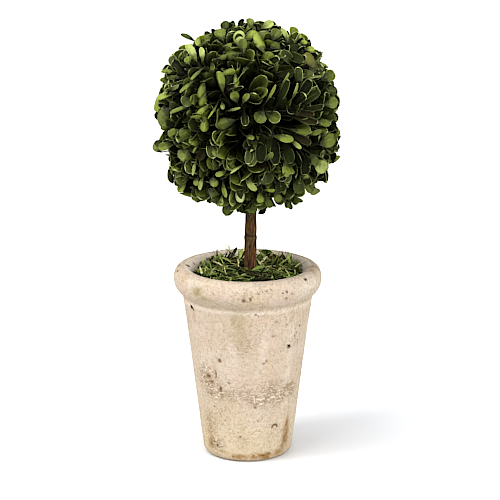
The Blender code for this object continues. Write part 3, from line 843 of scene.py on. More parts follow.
class Leaves:
    """All leaves of the crown, each with its colours."""

    def __init__(self):
        self.rows = []

    def add(self, base, D, N, L, W, cup, bend, wave, phase, colours, plain=0):
        self.rows.append((*base, *D, *N, L, W, cup, bend, wave, phase, *colours, plain))

    def reach(self, lo, hi):
        """Tip positions of leaves lo..hi, with their bend."""
        r = np.array(self.rows[lo:hi])
        b = np.where(np.abs(r[:, 12:13]) < 1e-3, 1e-3, r[:, 12:13])
        L = r[:, 9:10]
        x = L * (np.sin(0.85 * b) + np.sin(0.15 * b)) / b
        z = L * (np.cos(0.15 * b) - np.cos(0.85 * b)) / b
        return r[:, 0:3] + r[:, 3:6] * x + r[:, 6:9] * z

    def make(self, prefix, mats, limit):
        """Joined pieces, each kept under the limit of triangles."""
        r = np.array(self.rows)
        out = []
        for plain, shape in ((0, FINE), (1, PLAIN)):
            rows = r[(r[:, 22] == 1) == bool(plain)]
            quads, kind, _, n = leaf_template(*shape)
            pieces = int(math.ceil(len(rows) * len(quads) * 2 / limit))
            for part in np.array_split(rows, pieces):
                v, tone = build_leaves(shape, part[:, 9], part[:, 10], part[:, 11], part[:, 12], part[:, 13],
                                       part[:, 0:3], part[:, 3:6], part[:, 6:9], part[:, 14],
                                       part[:, 22])
                k = len(part)
                faces = (quads[None] + (np.arange(k) * n)[:, None, None]).reshape(-1, 4)
                idx = part[:, 15:22].astype(int)[:, kind].reshape(-1)
                out.append(mesh_object("%s_%d" % (prefix, len(out) + 1), v.reshape(-1, 3), faces, mats, idx))
                attribute(out[-1], "painted_shade_and_veins", tone.ravel())
                print(out[-1].name, "triangles", 2 * len(faces))
        print("leaves", len(r), "plain", int((r[:, 22] == 1).sum()))
        return out


# ------------------------------------------------------------------ the crown
PITCH = math.radians(14.3)
SIGHT = np.array([0.0, math.cos(PITCH), -math.sin(PITCH)])     # along the photograph's view
UPWARD = np.array([0.0, math.sin(PITCH), math.cos(PITCH)])
# how far the clipped outline runs out or in, in mm, by the clock round the ball
OUTLINE = [(-180, -1.0), (-170, -6.0), (-160, 1.4), (-150, -7.0), (-140, 3.6), (-130, 2.6), (-120, -0.4),
           (-110, -3.6), (-100, 3.6), (-90, 2.8), (-80, 1.0), (-70, -4.2), (-60, 4.0), (-50, 4.5), (-40, 3.2),
           (-30, 1.2), (-20, -1.2), (-10, -3.4), (0, -5.4), (10, -7.4), (20, -6.2), (30, -5.2), (40, -1.4),
           (50, -0.8), (60, 0.2), (70, 0.4), (80, -4.0), (90, -3.2), (100, -5.0), (110, -5.4), (120, -6.4),
           (130, -5.0), (140, -3.6), (150, 4.2), (160, -8.0), (170, -6.5), (180, -1.0)]


def envelope(d):
    """Reach of the clipped surface along unit directions d (n, 3)."""
    r = CROWN_R + 0.0010 * vnoise(d, 2.6, 5) + 0.0010 * vnoise(d, 6.0, 6)
    a = np.degrees(np.arctan2(d @ UPWARD, d[:, 0]))
    k = np.interp(a, [p[0] for p in OUTLINE], [p[1] for p in OUTLINE])
    return r + k * MM * np.exp(-((d @ SIGHT) / 0.42) ** 2)


def front_point(px, py, radius):
    """The point of the ball of this radius that is seen at a pixel of the frame."""
    eye = np.array([0.0019, -1.5698, 0.5696])
    ray = unit(SIGHT * 2000.0 + np.array([1.0, 0, 0]) * (px - 250.0) + UPWARD * (250.0 - py))
    oc = eye - CROWN_C
    b = np.dot(ray, oc)
    c = np.dot(oc, oc) - radius ** 2
    disc = b * b - c
    if disc < 0:
        return CROWN_C + unit(oc - ray * b) * radius
    return eye + ray * (-b - math.sqrt(disc))


def seen_at(P):
    """Pixel and distance at which points are seen in the frame."""
    Q = np.asarray(P) - np.array([0.0019, -1.5698, 0.5696])
    far = Q @ SIGHT
    return 250.0 + 2000.0 * Q[:, 0] / far, 250.0 - 2000.0 * (Q @ UPWARD) / far, far


def whorls():
    """Points of the ball that the shoots lean away from: direction, strength, spread."""
    front = unit(front_point(265, 112, CROWN_R) - CROWN_C)
    out = [(front, 0.80, 0.90)]
    for d in unit(fibonacci(9) + np.random.default_rng(77).normal(0, 0.12, (9, 3))):
        if np.dot(d, front) < 0.30:
            out.append((d, 0.70, 0.55))
    return out


def sweep(d):
    """Shoots lean away from the whorls, as they were set and clipped."""
    d = np.asarray(d)
    lean = np.zeros(3)
    for pole, strength, spread in WHORLS:
        c = float(np.clip(np.dot(d, pole), -1, 1))
        t = d * c - pole
        n = np.linalg.norm(t)
        if n < 1e-6:
            continue
        a = math.acos(c)
        lean = lean + t / n * strength * min(1.0, a / 0.30) * math.exp(-(a / spread) ** 2)
    q = d[None]
    v = np.array([vnoise(q, 2.2, 101)[0], vnoise(q, 2.2, 102)[0], vnoise(q, 2.2, 103)[0]])
    return lean + 0.28 * (v - d * np.dot(v, d))


def grow_sprig(leaves, sticks, rng, d, pal, opts):
    """One leafy shoot whose furthest tips touch the clipped surface."""
    side1 = unit(np.cross(d, [0.3, 0.2, 0.93]))
    side2 = np.cross(d, side1)
    tilt = opts.get("tilt", 0.30)
    ja = rng.uniform(0, 2 * math.pi)
    jr = tilt * math.sqrt(rng.uniform(0, 1))
    lean = opts.get("lean", sweep(d))
    A = unit(d + lean + jr * (math.cos(ja) * side1 + math.sin(ja) * side2))
    n = opts.get("pairs", int(rng.integers(4, 7)))
    size = opts.get("size", rng.uniform(0.84, 1.22))
    gap = opts.get("gap", rng.uniform(0.0036, 0.0052)) * size
    wide = opts.get("wide", rng.uniform(0.98, 1.25))
    open_ = opts.get("open", rng.uniform(0.70, 1.15))
    along = np.cumsum(gap * np.linspace(1.15, 0.75, n))
    total = along[-1]
    curve = rng.normal(0, 0.18, 3)
    B = CROWN_C + d * (CROWN_R - total - 0.013)
    start = len(leaves.rows)
    phi0 = rng.uniform(0, 2 * math.pi)
    e1 = unit(np.cross(A, [0.21, 0.34, 0.91]))
    path = [B]
    tint = rng.uniform(0, 1)
    for k in range(n):
        u = along[k] / total
        Ak = unit(A + curve * u)
        Pk = B + A * along[k] + curve * 0.5 * total * u * u
        path.append(Pk)
        f1 = unit(e1 - Ak * np.dot(e1, Ak))
        f2 = np.cross(Ak, f1)
        th = (0.90 - 0.50 * u) * open_
        grow = 0.86 + 0.22 * math.sin(math.pi * min(1.0, 0.22 + 0.62 * u))
        for h in (0, 1):
            phi = phi0 + k * math.pi / 2 + h * math.pi + rng.normal(0, 0.38)
            rad = math.cos(phi) * f1 + math.sin(phi) * f2
            th2 = max(0.10, th + rng.normal(0, 0.20))
            D = unit(math.cos(th2) * Ak + math.sin(th2) * rad)
            N = unit(Ak - D * np.dot(Ak, D))
            roll = rng.normal(0, 0.40)
            S = np.cross(D, N)
            N = unit(math.cos(roll) * N + math.sin(roll) * S)
            L = 0.0200 * size * grow * rng.uniform(0.80, 1.16)
            W = L * rng.uniform(0.225, 0.300) * wide
            cup = rng.normal(0.80, 0.55)
            bend = rng.normal(0.35, 0.50)
            leaves.add(Pk, D, N, L, W, cup, bend, rng.uniform(0.0, 0.12), rng.uniform(0, 6.28),
                       pal(rng, Pk, u, tint), 1 if k < n - 3 else 0)
    # a small pair at the tip
    Pk = path[-1] + A * gap * 0.5
    path.append(Pk)
    f1 = unit(e1 - A * np.dot(e1, A))
    f2 = np.cross(A, f1)
    for h in (0, 1):
        phi = phi0 + n * math.pi / 2 + h * math.pi
        rad = math.cos(phi) * f1 + math.sin(phi) * f2
        th2 = rng.uniform(0.12, 0.45)
        D = unit(math.cos(th2) * A + math.sin(th2) * rad)
        N = unit(A - D * np.dot(A, D))
        L = 0.0118 * size * rng.uniform(0.75, 1.30)
        leaves.add(Pk, D, N, L, L * 0.27, 0.8, 0.2, 0.0, 0.0, pal(rng, Pk, 1.0, tint))
    # slide the shoot in or out so that its furthest tip meets the surface
    tips = leaves.reach(start, len(leaves.rows)) - CROWN_C
    r = np.linalg.norm(tips, axis=1)
    over = np.sort(r - envelope(unit(tips)))[-3]
    shift = -over + opts.get("proud", rng.normal(-0.0024, 0.0014))
    for q in range(start, len(leaves.rows)):
        row = list(leaves.rows[q])
        for c in range(3):
            row[c] += d[c] * shift
        leaves.rows[q] = tuple(row)
    path = np.array(path) + d * shift
    rad = np.linspace(0.00062, 0.00036, len(path)) * size
    v, q, t = tube(path, rad, 6)
    sticks.add(v, q, t, int(rng.integers(0, 2)))
    return path[0]


def fill_inside(leaves, rng, count):
    """Leaves further in, along the shoots' feet, in the darkest colours, darkest deepest in: painted shade inside
    the ball.
    """
    for d in unit(fibonacci(count) + rng.normal(0, 0.06, (count, 3))):
        r = rng.uniform(0.030, 0.058)
        P = CROWN_C + d * r
        D = unit(d + rng.normal(0, 0.65, 3))
        N = unit(np.cross(D, rng.normal(0, 1, 3)))
        L = rng.uniform(0.015, 0.019)
        top = DEEP if r < 0.048 else DARK if rng.uniform() < 0.7 else OLIVE
        low = DEEP if r < 0.048 else DARK
        leaves.add(P, D, N, L, L * rng.uniform(0.26, 0.32), rng.normal(0.5, 0.4), rng.normal(0.2, 0.4),
                   0.04, rng.uniform(0, 6.28), (top, low, top, top, DEEP, DEEP, low), 1)


# Leaves that stand out on the side of the photograph, by where their middle is
# seen in the 500 pixel frame: x, y, heading of the tip (degrees, 0 right, 90
# up), length and width in pixels, colour, edge, cup, roll, bend, rise.
# some colours in the table carry painted light: the leaf at 240 194, which faces down into shade, is given a paler
# colour than its own
STANDOUTS = """
226 27 100 13 8 olive dark .9 0 .2 .2
239 38 95 25 13 straw bright -.6 -.1 -.3 .15
251 35 40 19 12 bright fresh -.7 .2 -.4 .1
262 43 106 29 13 bright straw -.9 .3 -.4 .15
221 36 112 16 13 fresh margin_dark .9 0 .4 .2
227 45 20 10 8 fresh fresh -1.0 0 -.6 0
233 53 175 18 13 mid margin_dark -1.1 0 -.7 -.1
243 47 93 17 9 mid margin_dark .9 0 .4 .1
188 38 154 17 6 olive dark .7 .2 .1 .35
192 54 120 27 9 straw margin_pale .9 .5 .2 .2
202 55 97 17 6 straw margin_pale .7 .5 .1 .2
200 43 112 14 8 bright margin_pale .9 -.5 .4 .2
197 62 118 12 2.4 straw straw .3 .9 .0 .1
189 61 100 10 9 fresh margin .9 0 .4 .1
199 74 232 22 7 fresh margin_dark 1.0 .5 .3 .1
188 87 225 20 6 fresh margin .9 .4 .3 .1
229 81 90 13 12 deep deep -.4 0 .2 -.1
219 82 110 23 12 fresh bright -1.2 -.5 -.4 .1
226 74 14 19 9 fresh bright -1.1 .5 -.4 .1
235 79 272 16 7 fresh margin -.9 .3 -.3 .1
231 87 10 13 7 brown margin_pale .6 .4 .2 .1
202 88 256 20 10 fresh margin_dark -1.1 -.2 -.7 .1
203 99 248 15 10 fresh mid -1.2 -.2 -.8 .1
203 112 230 20 11 bright fresh -1.2 -.3 -.8 .05
205 124 262 18 11 bright fresh -1.2 -.3 -.8 .05
215 111 252 22 5 bright margin .8 .9 .6 .15
223 106 290 9 5 fresh margin .8 .2 .5 .1
233 109 14 17 4 straw straw .8 .9 .1 .3
225 123 196 22 13 mid margin -1.1 0 -.7 .05
235 97 110 12 10 fresh mid .9 0 .5 .1
246 99 50 12 7 fresh margin .9 -.4 .4 .1
163 117 226 30 20 fresh bright -.8 -.2 -.5 .05
167 97 205 22 10 bright margin .8 .5 .5 .2
190 100 262 18 16 olive margin 1.1 0 .6 .0
174 134 203 22 11 fresh bright -.9 -.3 -.5 .15
184 139 196 22 11 deep margin_dark .8 0 .6 .1
167 146 190 18 9 fresh margin .8 .2 .5 .1
160 143 185 11 7 olive deep .7 0 .3 .1
184 157 238 22 18 bright bright -.7 -.2 -.6 .0
175 168 200 8 5 bright bright .8 0 .3 .1
183 186 240 15 8 bright fresh .8 0 .5 .1
195 167 255 20 5 straw margin_pale .5 .6 .1 .1
196 149 238 10 4 bright margin .8 .7 .3 .1
203 153 240 17 9 brown brown .9 0 .5 .1
213 148 284 22 13 olive margin_pale 1.1 0 .6 .1
215 151 300 12 6 fresh margin .9 .2 .5 .2
221 173 200 12 6 bright bright .7 0 .3 .1
213 183 268 15 11 bright fresh -1.0 0 -.5 .1
197 181 250 10 6 bright fresh .8 0 .6 .1
202 183 256 17 6 straw bright .8 .4 .3 .1
212 194 270 15 12 mid mid -1.0 0 -.7 .0
240 194 272 22 10 margin_pale straw -.5 0 .1 .25
225 189 288 18 6 bright margin_pale .8 .4 .4 .1
222 200 270 12 5 straw fresh .8 .2 .4 .1
237 169 216 16 3.2 straw margin_pale .6 .9 .1 .2
227 207 262 16 9 mid dark .8 0 .3 .2
251 184 316 17 8 straw bright .8 .2 .3 .2
269 189 4 13 6 bright fresh .8 .3 .4 .1
286 168 278 18 8 bright margin .9 .4 .3 .15
268 156 60 14 8 fresh margin .9 .4 .4 .1
251 154 262 21 10 olive margin_pale 1.1 .4 .6 .1
260 148 264 30 12 deep margin_dark .8 -.2 .5 .1
260 117 240 14 14 mid fresh .9 0 .5 .0
273 117 330 16 14 mid margin_pale 1.2 0 .5 .1
245 119 276 16 9 dark margin_pale 1.2 0 .4 .15
250 137 345 10 5 fresh mid .8 0 .3 .1
283 137 352 21 9 bright straw .7 .4 .3 .15
296 144 322 14 5 straw bright .6 .3 .2 .2
300 130 356 24 7 fresh margin .9 .7 .2 .15
314 132 20 16 7 fresh margin_dark .8 .4 .4 .15
322 123 350 18 8 fresh mid .8 -.2 .4 .1
326 141 30 19 15 fresh mid .5 0 .5 .1
322 153 200 13 8 fresh mid .7 0 .4 .0
319 165 318 19 14 straw bright .6 0 .5 .1
313 159 300 16 9 mid olive .8 0 .4 .1
330 103 15 17 11 fresh margin .7 .2 .4 .1
313 61 118 23 15 olive_gold margin_dark -.7 0 -.4 .0
327 77 30 18 12 mid margin .7 0 .5 .1
309 50 5 12 7 bright bright .7 0 .4 .0
303 43 15 9 6 bright straw .7 0 .4 .1
285 36 122 18 8 straw bright .6 .2 .3 .1
293 34 96 15 11 fresh margin .7 0 .4 .1
267 26 24 15 9 straw bright .8 .3 .4 .3
250 24 98 13 8 fresh dark .8 .1 .2 .3
241 24 60 11 6 deep deep .8 0 .3 .3
275 36 62 17 12 mid margin .9 0 .4 .0
275 45 40 15 11 mid margin_dark -.9 0 -.4 .0
297 78 92 22 11 olive margin_pale 1.3 0 .4 .15
294 92 72 19 6 bright margin_pale .9 .8 .1 .2
283 82 62 22 5 bright margin .9 .9 .1 .2
281 94 68 32 9 dark margin 1.0 .3 .2 .1
270 94 62 22 5 bright margin .9 .8 .1 .2
302 92 62 30 12 deep margin 1.0 .1 .4 .1
306 100 34 34 11 dark margin_dark 1.0 -.2 .4 .1
309 108 16 32 8 dark margin .9 .6 .2 .15
271 62 24 18 9 dark margin_pale 1.6 .3 .4 .2
246 69 250 17 5 olive margin_pale .9 .9 .2 .15
312 77 12 22 3 margin margin .6 .9 .1 .15
330 91 352 16 10 olive deep .7 0 .4 .1
154 101 134 13 5 deep deep .6 0 .0 .5
155 112 196 12 4 deep deep .6 0 .0 .4
169 73 172 18 7 fresh margin .8 .5 .3 .15
176 79 176 22 7 olive margin .8 .6 .2 .15
182 84 198 24 8 dark margin_pale .9 .7 .2 .15
180 68 128 24 12 deep margin 1.0 -.2 .4 .1
175 64 112 20 10 olive margin .8 .2 .3 .1
300 112 356 30 8 brown margin_dark .9 .5 .2 .1
304 119 350 30 8 brown margin .9 .3 .2 .1
300 139 335 24 9 brown margin_dark 1.0 -.2 .4 .1
287 152 285 24 12 dark margin_dark .9 0 .4 .0
275 150 272 30 11 deep margin 1.0 .2 .3 .1
304 165 268 20 12 deep margin .9 0 .4 .1
297 183 285 22 13 olive margin_dark .8 0 .5 .0
307 184 296 20 10 mid margin_dark .8 0 .5 .0
280 183 275 20 12 dark margin_dark .8 0 .5 .0
305 177 60 9 6 bright bright .7 0 .3 .1
297 198 340 14 7 fresh mid .7 0 .3 .1
289 204 298 12 5 mid olive .6 0 .1 .3
260 197 278 13 8 bright fresh .8 0 .4 .1
277 196 290 14 8 fresh mid .8 0 .4 .1
268 201 300 15 8 mid olive .8 0 .4 .1
252 206 262 16 11 mid dark .8 0 .5 .1
287 60 150 26 13 olive margin .9 0 .7 .0
232 90 20 26 5 dark margin_pale .7 .8 .2 .15
275 60 62 11 6 margin_pale margin_pale .7 .3 .2 .1
268 65 160 15 3 margin_pale margin_pale .7 .9 .2 .1
213 66 300 13 6 mid margin .8 .5 .3 .1
221 57 20 11 7 mid margin_dark -.9 0 -.4 .0
246 60 172 20 4 margin_dark margin .7 .9 .2 .1
290 45 20 28 14 dark margin_dark -.6 0 -.4 .0
292 58 330 26 12 dark margin_dark .8 0 .4 .0
298 37 60 8 7 bright fresh .7 0 .3 .1
174 88 28 20 4 margin margin_pale .7 .9 .1 .15
166 92 205 12 8 olive margin .8 0 .3 .1
181 110 200 24 7 fresh margin .8 .7 .2 .1
""".split("\n")[1:-1]


def more_standouts(rng, count):
    """The same kinds of leaves for the sides that the photograph doesn't show."""
    kinds = [("bright", "margin"), ("bright", "fresh"), ("fresh", "margin"), ("fresh", "margin_pale"),
             ("mid", "margin"), ("olive", "margin_pale"), ("dark", "margin_pale"), ("straw", "bright"),
             ("deep", "margin"), ("dark", "margin"), ("brown", "margin_dark")]
    share = np.array([.16, .10, .18, .08, .12, .10, .08, .05, .03, .06, .04])
    out = []
    for d in unit(fibonacci(count) + rng.normal(0, 0.12, (count, 3))):
        if np.dot(d, -SIGHT) > 0.12 or d[2] < -0.93:
            continue
        top, edge = kinds[int(rng.choice(len(kinds), p=share / share.sum()))]
        lean = sweep(d) + rng.normal(0, 0.35, 3)
        lean = unit(lean - d * np.dot(lean, d))
        out.append((d, lean, rng.uniform(13, 27), rng.uniform(0.30, 0.62), top, edge,
                    rng.uniform(0.6, 1.3), rng.normal(0.1, 0.4), rng.uniform(0.1, 0.8), rng.uniform(0.0, 0.25)))
    return out


def set_standouts(leaves, sticks, rng):
    names = {n: i for i, (n, _, _) in enumerate(TOPS + EDGES)}
    pixel = 0.797 * MM
    eye = np.array([0.0019, -1.5698, 0.5696])
    rows = np.array(leaves.rows)
    b = np.where(np.abs(rows[:, 12:13]) < 1e-3, 1e-3, rows[:, 12:13])
    mid = rows[:, 0:3] + rows[:, 3:6] * rows[:, 9:10] * 0.6 + rows[:, 6:9] * rows[:, 9:10] * 0.2 * b
    tip = leaves.reach(0, len(rows))
    gone = np.linalg.norm(tip - CROWN_C, axis=1) > envelope(unit(tip - CROWN_C)) + 0.0030
    todo = []
    for line in STANDOUTS:
        c = line.split()
        x, y, head, L, wid, cup, roll, bend, rise = (float(c[i]) for i in (0, 1, 2, 3, 4, 7, 8, 9, 10))
        bold = c[5] in ("bright", "straw", "fresh", "mid", "olive_gold", "margin")
        h = math.radians(head)
        aim = math.cos(h) * np.array([1.0, 0, 0]) + math.sin(h) * UPWARD
        P = front_point(x, y, CROWN_R - (0.0026 if bold else 0.0048))
        ray = unit(P - eye)
        # past the outline the leaf hangs in the plane through the ball's centre
        t = np.dot(CROWN_C - eye, ray)
        if np.linalg.norm(eye + ray * t - CROWN_C) > CROWN_R - 0.0026:
            P = eye + ray * t
        else:
            far = unit(SIGHT * 2000.0 + np.array([1.0, 0, 0]) * (x - 250.0) + UPWARD * (250.0 - y))
            P = eye + far * np.dot(P - eye, far)
        d = unit(P - CROWN_C)
        face = -np.dot(SIGHT, d)
        lam = (math.sin(rise + 0.16) - np.dot(aim, d)) / max(face, 0.30)
        k = min(1.0, face / 0.5)
        D = unit(aim - SIGHT * float(np.clip(lam, -0.9 * k, 0.3 + 1.1 * k)))
        N = unit(d - 0.5 * SIGHT)
        todo.append((P, D, N, L, wid / L, c[5], c[6], cup, roll, bend))
        # leaves that would grow across it make way
        for Q, k in ((mid, 0.34), (tip, 0.28)) if bold else ((mid, 0.20),):
            X, Y, away = seen_at(Q)
            u = (X - x) * math.cos(h) - (Y - y) * math.sin(h)
            v = (X - x) * math.sin(h) + (Y - y) * math.cos(h)
            near = np.dot(P - eye, SIGHT)
            gone |= ((u / (k * L)) ** 2 + (v / (k * max(wid, 5.0))) ** 2 < 1.0) & (away < near + 0.0005)
    leaves.rows = [r for r, g in zip(leaves.rows, gone) if not g]
    print("leaves that made way", int(gone.sum()))
    for d, aim, L, wide, top, edge, cup, roll, bend, rise in more_standouts(rng, 230):
        D = unit(math.cos(rise + 0.2) * aim + math.sin(rise + 0.2) * d)
        todo.append((CROWN_C + d * (envelope(d[None])[0] - 0.0044), D, d, L, wide, top, edge, cup, roll, bend))
    for P, D, N, L, wide, top, edge, cup, roll, bend in todo:
        L = L * pixel
        W = 0.5 * L * wide * 1.04
        N = unit(N - D * np.dot(N, D))
        S = np.cross(D, N)
        N = unit(math.cos(roll) * N + math.sin(roll) * S)
        base = P - D * L * 0.50
        top, edge = names[top], names[edge]
        if top in (BROWN, GOLD) or top > GOLD:
            low, foot, waist, rib = top, top, top, top
        else:
            # the foot takes the next darker colour: painted shade where the leaves overlap
            low, foot, waist = min(top + 1, BRIGHT), max(top - 1, DEEP), top
            rib = min(top + 1, STRAW) if rng.uniform() < 0.5 else top
        leaves.add(base, D, N, L, W, cup, bend, 0.05, rng.uniform(0, 6.28),
                   (top, low, edge, rib, foot, foot, waist), 2)
        # its stalk runs back into the ball
        d0 = unit(base - CROWN_C)
        inner = CROWN_C + unit(d0 - 0.10 * D) * 0.050
        pts = bezier(inner, inner + d0 * 0.006, base - (0.35 * D + 0.65 * d0) * 0.006, base + D * 0.0006, 7)
        v, q, t = tube(pts, np.linspace(0.0006, 0.00034, 7), 5)
        sticks.add(v, q, t, 2)


# leaf colours: (name, linear colour, roughness)
TOPS = [
    ("deep", (0.0085, 0.0120, 0.0027), 0.44),
    ("dark", (0.018, 0.025, 0.0045), 0.44),
    ("olive", (0.037, 0.050, 0.0072), 0.44),
    ("mid", (0.074, 0.094, 0.0135), 0.44),
    ("fresh", (0.124, 0.153, 0.0235), 0.42),
    ("bright", (0.208, 0.248, 0.0420), 0.40),
    ("straw", (0.300, 0.340, 0.1120), 0.46),
    ("brown", (0.024, 0.0192, 0.0058), 0.52),
    ("olive_gold", (0.118, 0.118, 0.023), 0.50),
]
EDGES = [
    ("margin_dark", (0.110, 0.128, 0.044), 0.50),
    ("margin", (0.245, 0.278, 0.104), 0.50),
    ("margin_pale", (0.455, 0.492, 0.240), 0.50),
]
DEEP, DARK, OLIVE, MID, FRESH, BRIGHT, STRAW, BROWN, GOLD = range(9)
MARGIN_DARK, MARGIN, MARGIN_PALE = 9, 10, 11
WHORLS = whorls()


def palette(rng, p, u, tint):
    """Colours of one leaf, lighter here and there at random, with painted light and shade by place on the ball."""
    d = unit(p - CROWN_C)
    high = max(0.0, d[2])
    # painted light and shade by place: lighter on the top, at the lower left and in the middle of the front, darker
    # on the left at middle height and at the upper right
    x = 0.60 * rng.uniform(0, 1) + 0.40 * tint - 0.04 * high ** 2
    up = float(d @ UPWARD)
    x -= 0.14 * max(0.0, -0.64 * d[0] - 0.77 * up)
    x += 0.46 * max(0.0, -d[0] - 0.25) * max(0.0, 1.0 - 1.6 * abs(up))
    x -= 0.13 * max(0.0, -float(d @ SIGHT)) ** 6
    x += 0.25 * max(0.0, 0.77 * d[0] + 0.64 * up)
    if x < 0.10:
        top = BRIGHT
    elif x < 0.25:
        top = FRESH
    elif x < 0.47:
        top = MID
    elif x < 0.69:
        top = OLIVE
    elif x < 0.86:
        top = DARK
    else:
        top = DEEP
    y = rng.uniform()
    if y < 0.04:
        top = BROWN
    elif y < 0.055:
        top = STRAW
    # the foot of each leaf takes a darker colour: painted shade where the leaves overlap
    if top == BROWN:
        low, foot, waist = BROWN, DEEP, BROWN
    else:
        low = min(top + (1 if rng.uniform() < 0.45 else 0), BRIGHT) if top != STRAW else BRIGHT
        foot = max(min(top, BRIGHT) - 1, DEEP)
        waist = top
    z = rng.uniform()
    if top in (BRIGHT, STRAW):
        edge = MARGIN_PALE if z < 0.4 else top
    elif top in (FRESH, MID):
        edge = MARGIN if z < 0.45 else MARGIN_PALE if z < 0.72 else top
    else:
        edge = MARGIN if z < 0.34 else MARGIN_DARK if z < 0.74 else MARGIN_PALE if z < 0.86 else top
    rib = min(top + 1, STRAW) if top != BROWN and rng.uniform() < 0.45 else top
    return top, low, edge, rib, foot, foot, waist


def make_crown(bark, twigs):
    rng = np.random.default_rng(20261)
    leaves = Leaves()
    sticks = Pile()
    boughs = Pile()
    count = 250
    dirs = fibonacci(count)
    dirs = unit(dirs + rng.normal(0, 0.055, dirs.shape))
    stem_gap = dirs[:, 2] < -0.965
    dirs = dirs[~stem_gap]
    feet = []
    for d in dirs:
        feet.append(grow_sprig(leaves, sticks, rng, d, palette, {}))
    feet = np.array(feet)
    fill_inside(leaves, rng, 950)
    set_standouts(leaves, sticks, rng)
    # boughs fork from the stem, each fork ends where the shoots begin
    fork = np.array([stem_line(FORK_Z - 0.002), 0.0, FORK_Z - 0.002])
    main = fibonacci(9)
    main = unit(main + rng.normal(0, 0.10, main.shape))
    mids, mid_r = [], []
    for m in main:
        z0 = FORK_Z - 0.003 - (0.024 * rng.uniform(0.2, 1.0) if m[2] < 0.3 else 0.0)
        p0 = np.array([stem_line(z0), 0.0, z0])
        p3 = CROWN_C + m * 0.030
        lead = unit(np.array([m[0], m[1], max(m[2], 0.25)]))
        pts = bezier(p0, p0 + lead * 0.012, p3 - unit(m + [0, 0, 0.3]) * 0.010, p3, 12)
        v, q, t = tube(pts, np.linspace(0.0026, 0.0015, 12), 10)
        boughs.add(v, q, t)
        for c in range(4):
            e = unit(m + rng.normal(0, 0.42, 3))
            p4 = CROWN_C + e * rng.uniform(0.036, 0.041)
            pts = bezier(p3, p3 + unit(m) * 0.004, p4 - e * 0.004, p4, 7)
            v, q, t = tube(pts, np.linspace(0.0014, 0.0009, 7), 8)
            boughs.add(v, q, t)
            mids.append(p4)
    mids = np.array(mids)
    for f in feet:
        k = int(np.argmin(np.linalg.norm(mids - f, axis=1)))
        g = mids[k]
        n = unit(f - CROWN_C)
        pts = bezier(g, g + n * 0.002, f - n * 0.004, f, 7)
        v, q, t = tube(pts, np.linspace(0.0009, 0.00062, 7), 6)
        sticks.add(v, q, t, 1)
    return leaves, sticks, boughs


# ----------------------------------------------------------------------- moss
FIBRES = [
    ("moss_black", (0.010, 0.013, 0.005)),
    ("moss_dark", (0.040, 0.052, 0.014)),
    ("moss_olive", (0.122, 0.140, 0.034)),
    ("moss_green", (0.200, 0.268, 0.060)),
    ("moss_bright", (0.380, 0.440, 0.130)),
    ("moss_straw", (0.600, 0.560, 0.310)),
    ("moss_brown", (0.120, 0.060, 0.030)),
]


def moss_height(x, y):
    r = np.hypot(x, y)
    t = np.clip((r - 0.0065) / (0.0425 - 0.0065), 0, 1)
    return 0.1532 - 0.0048 * t ** 1.6


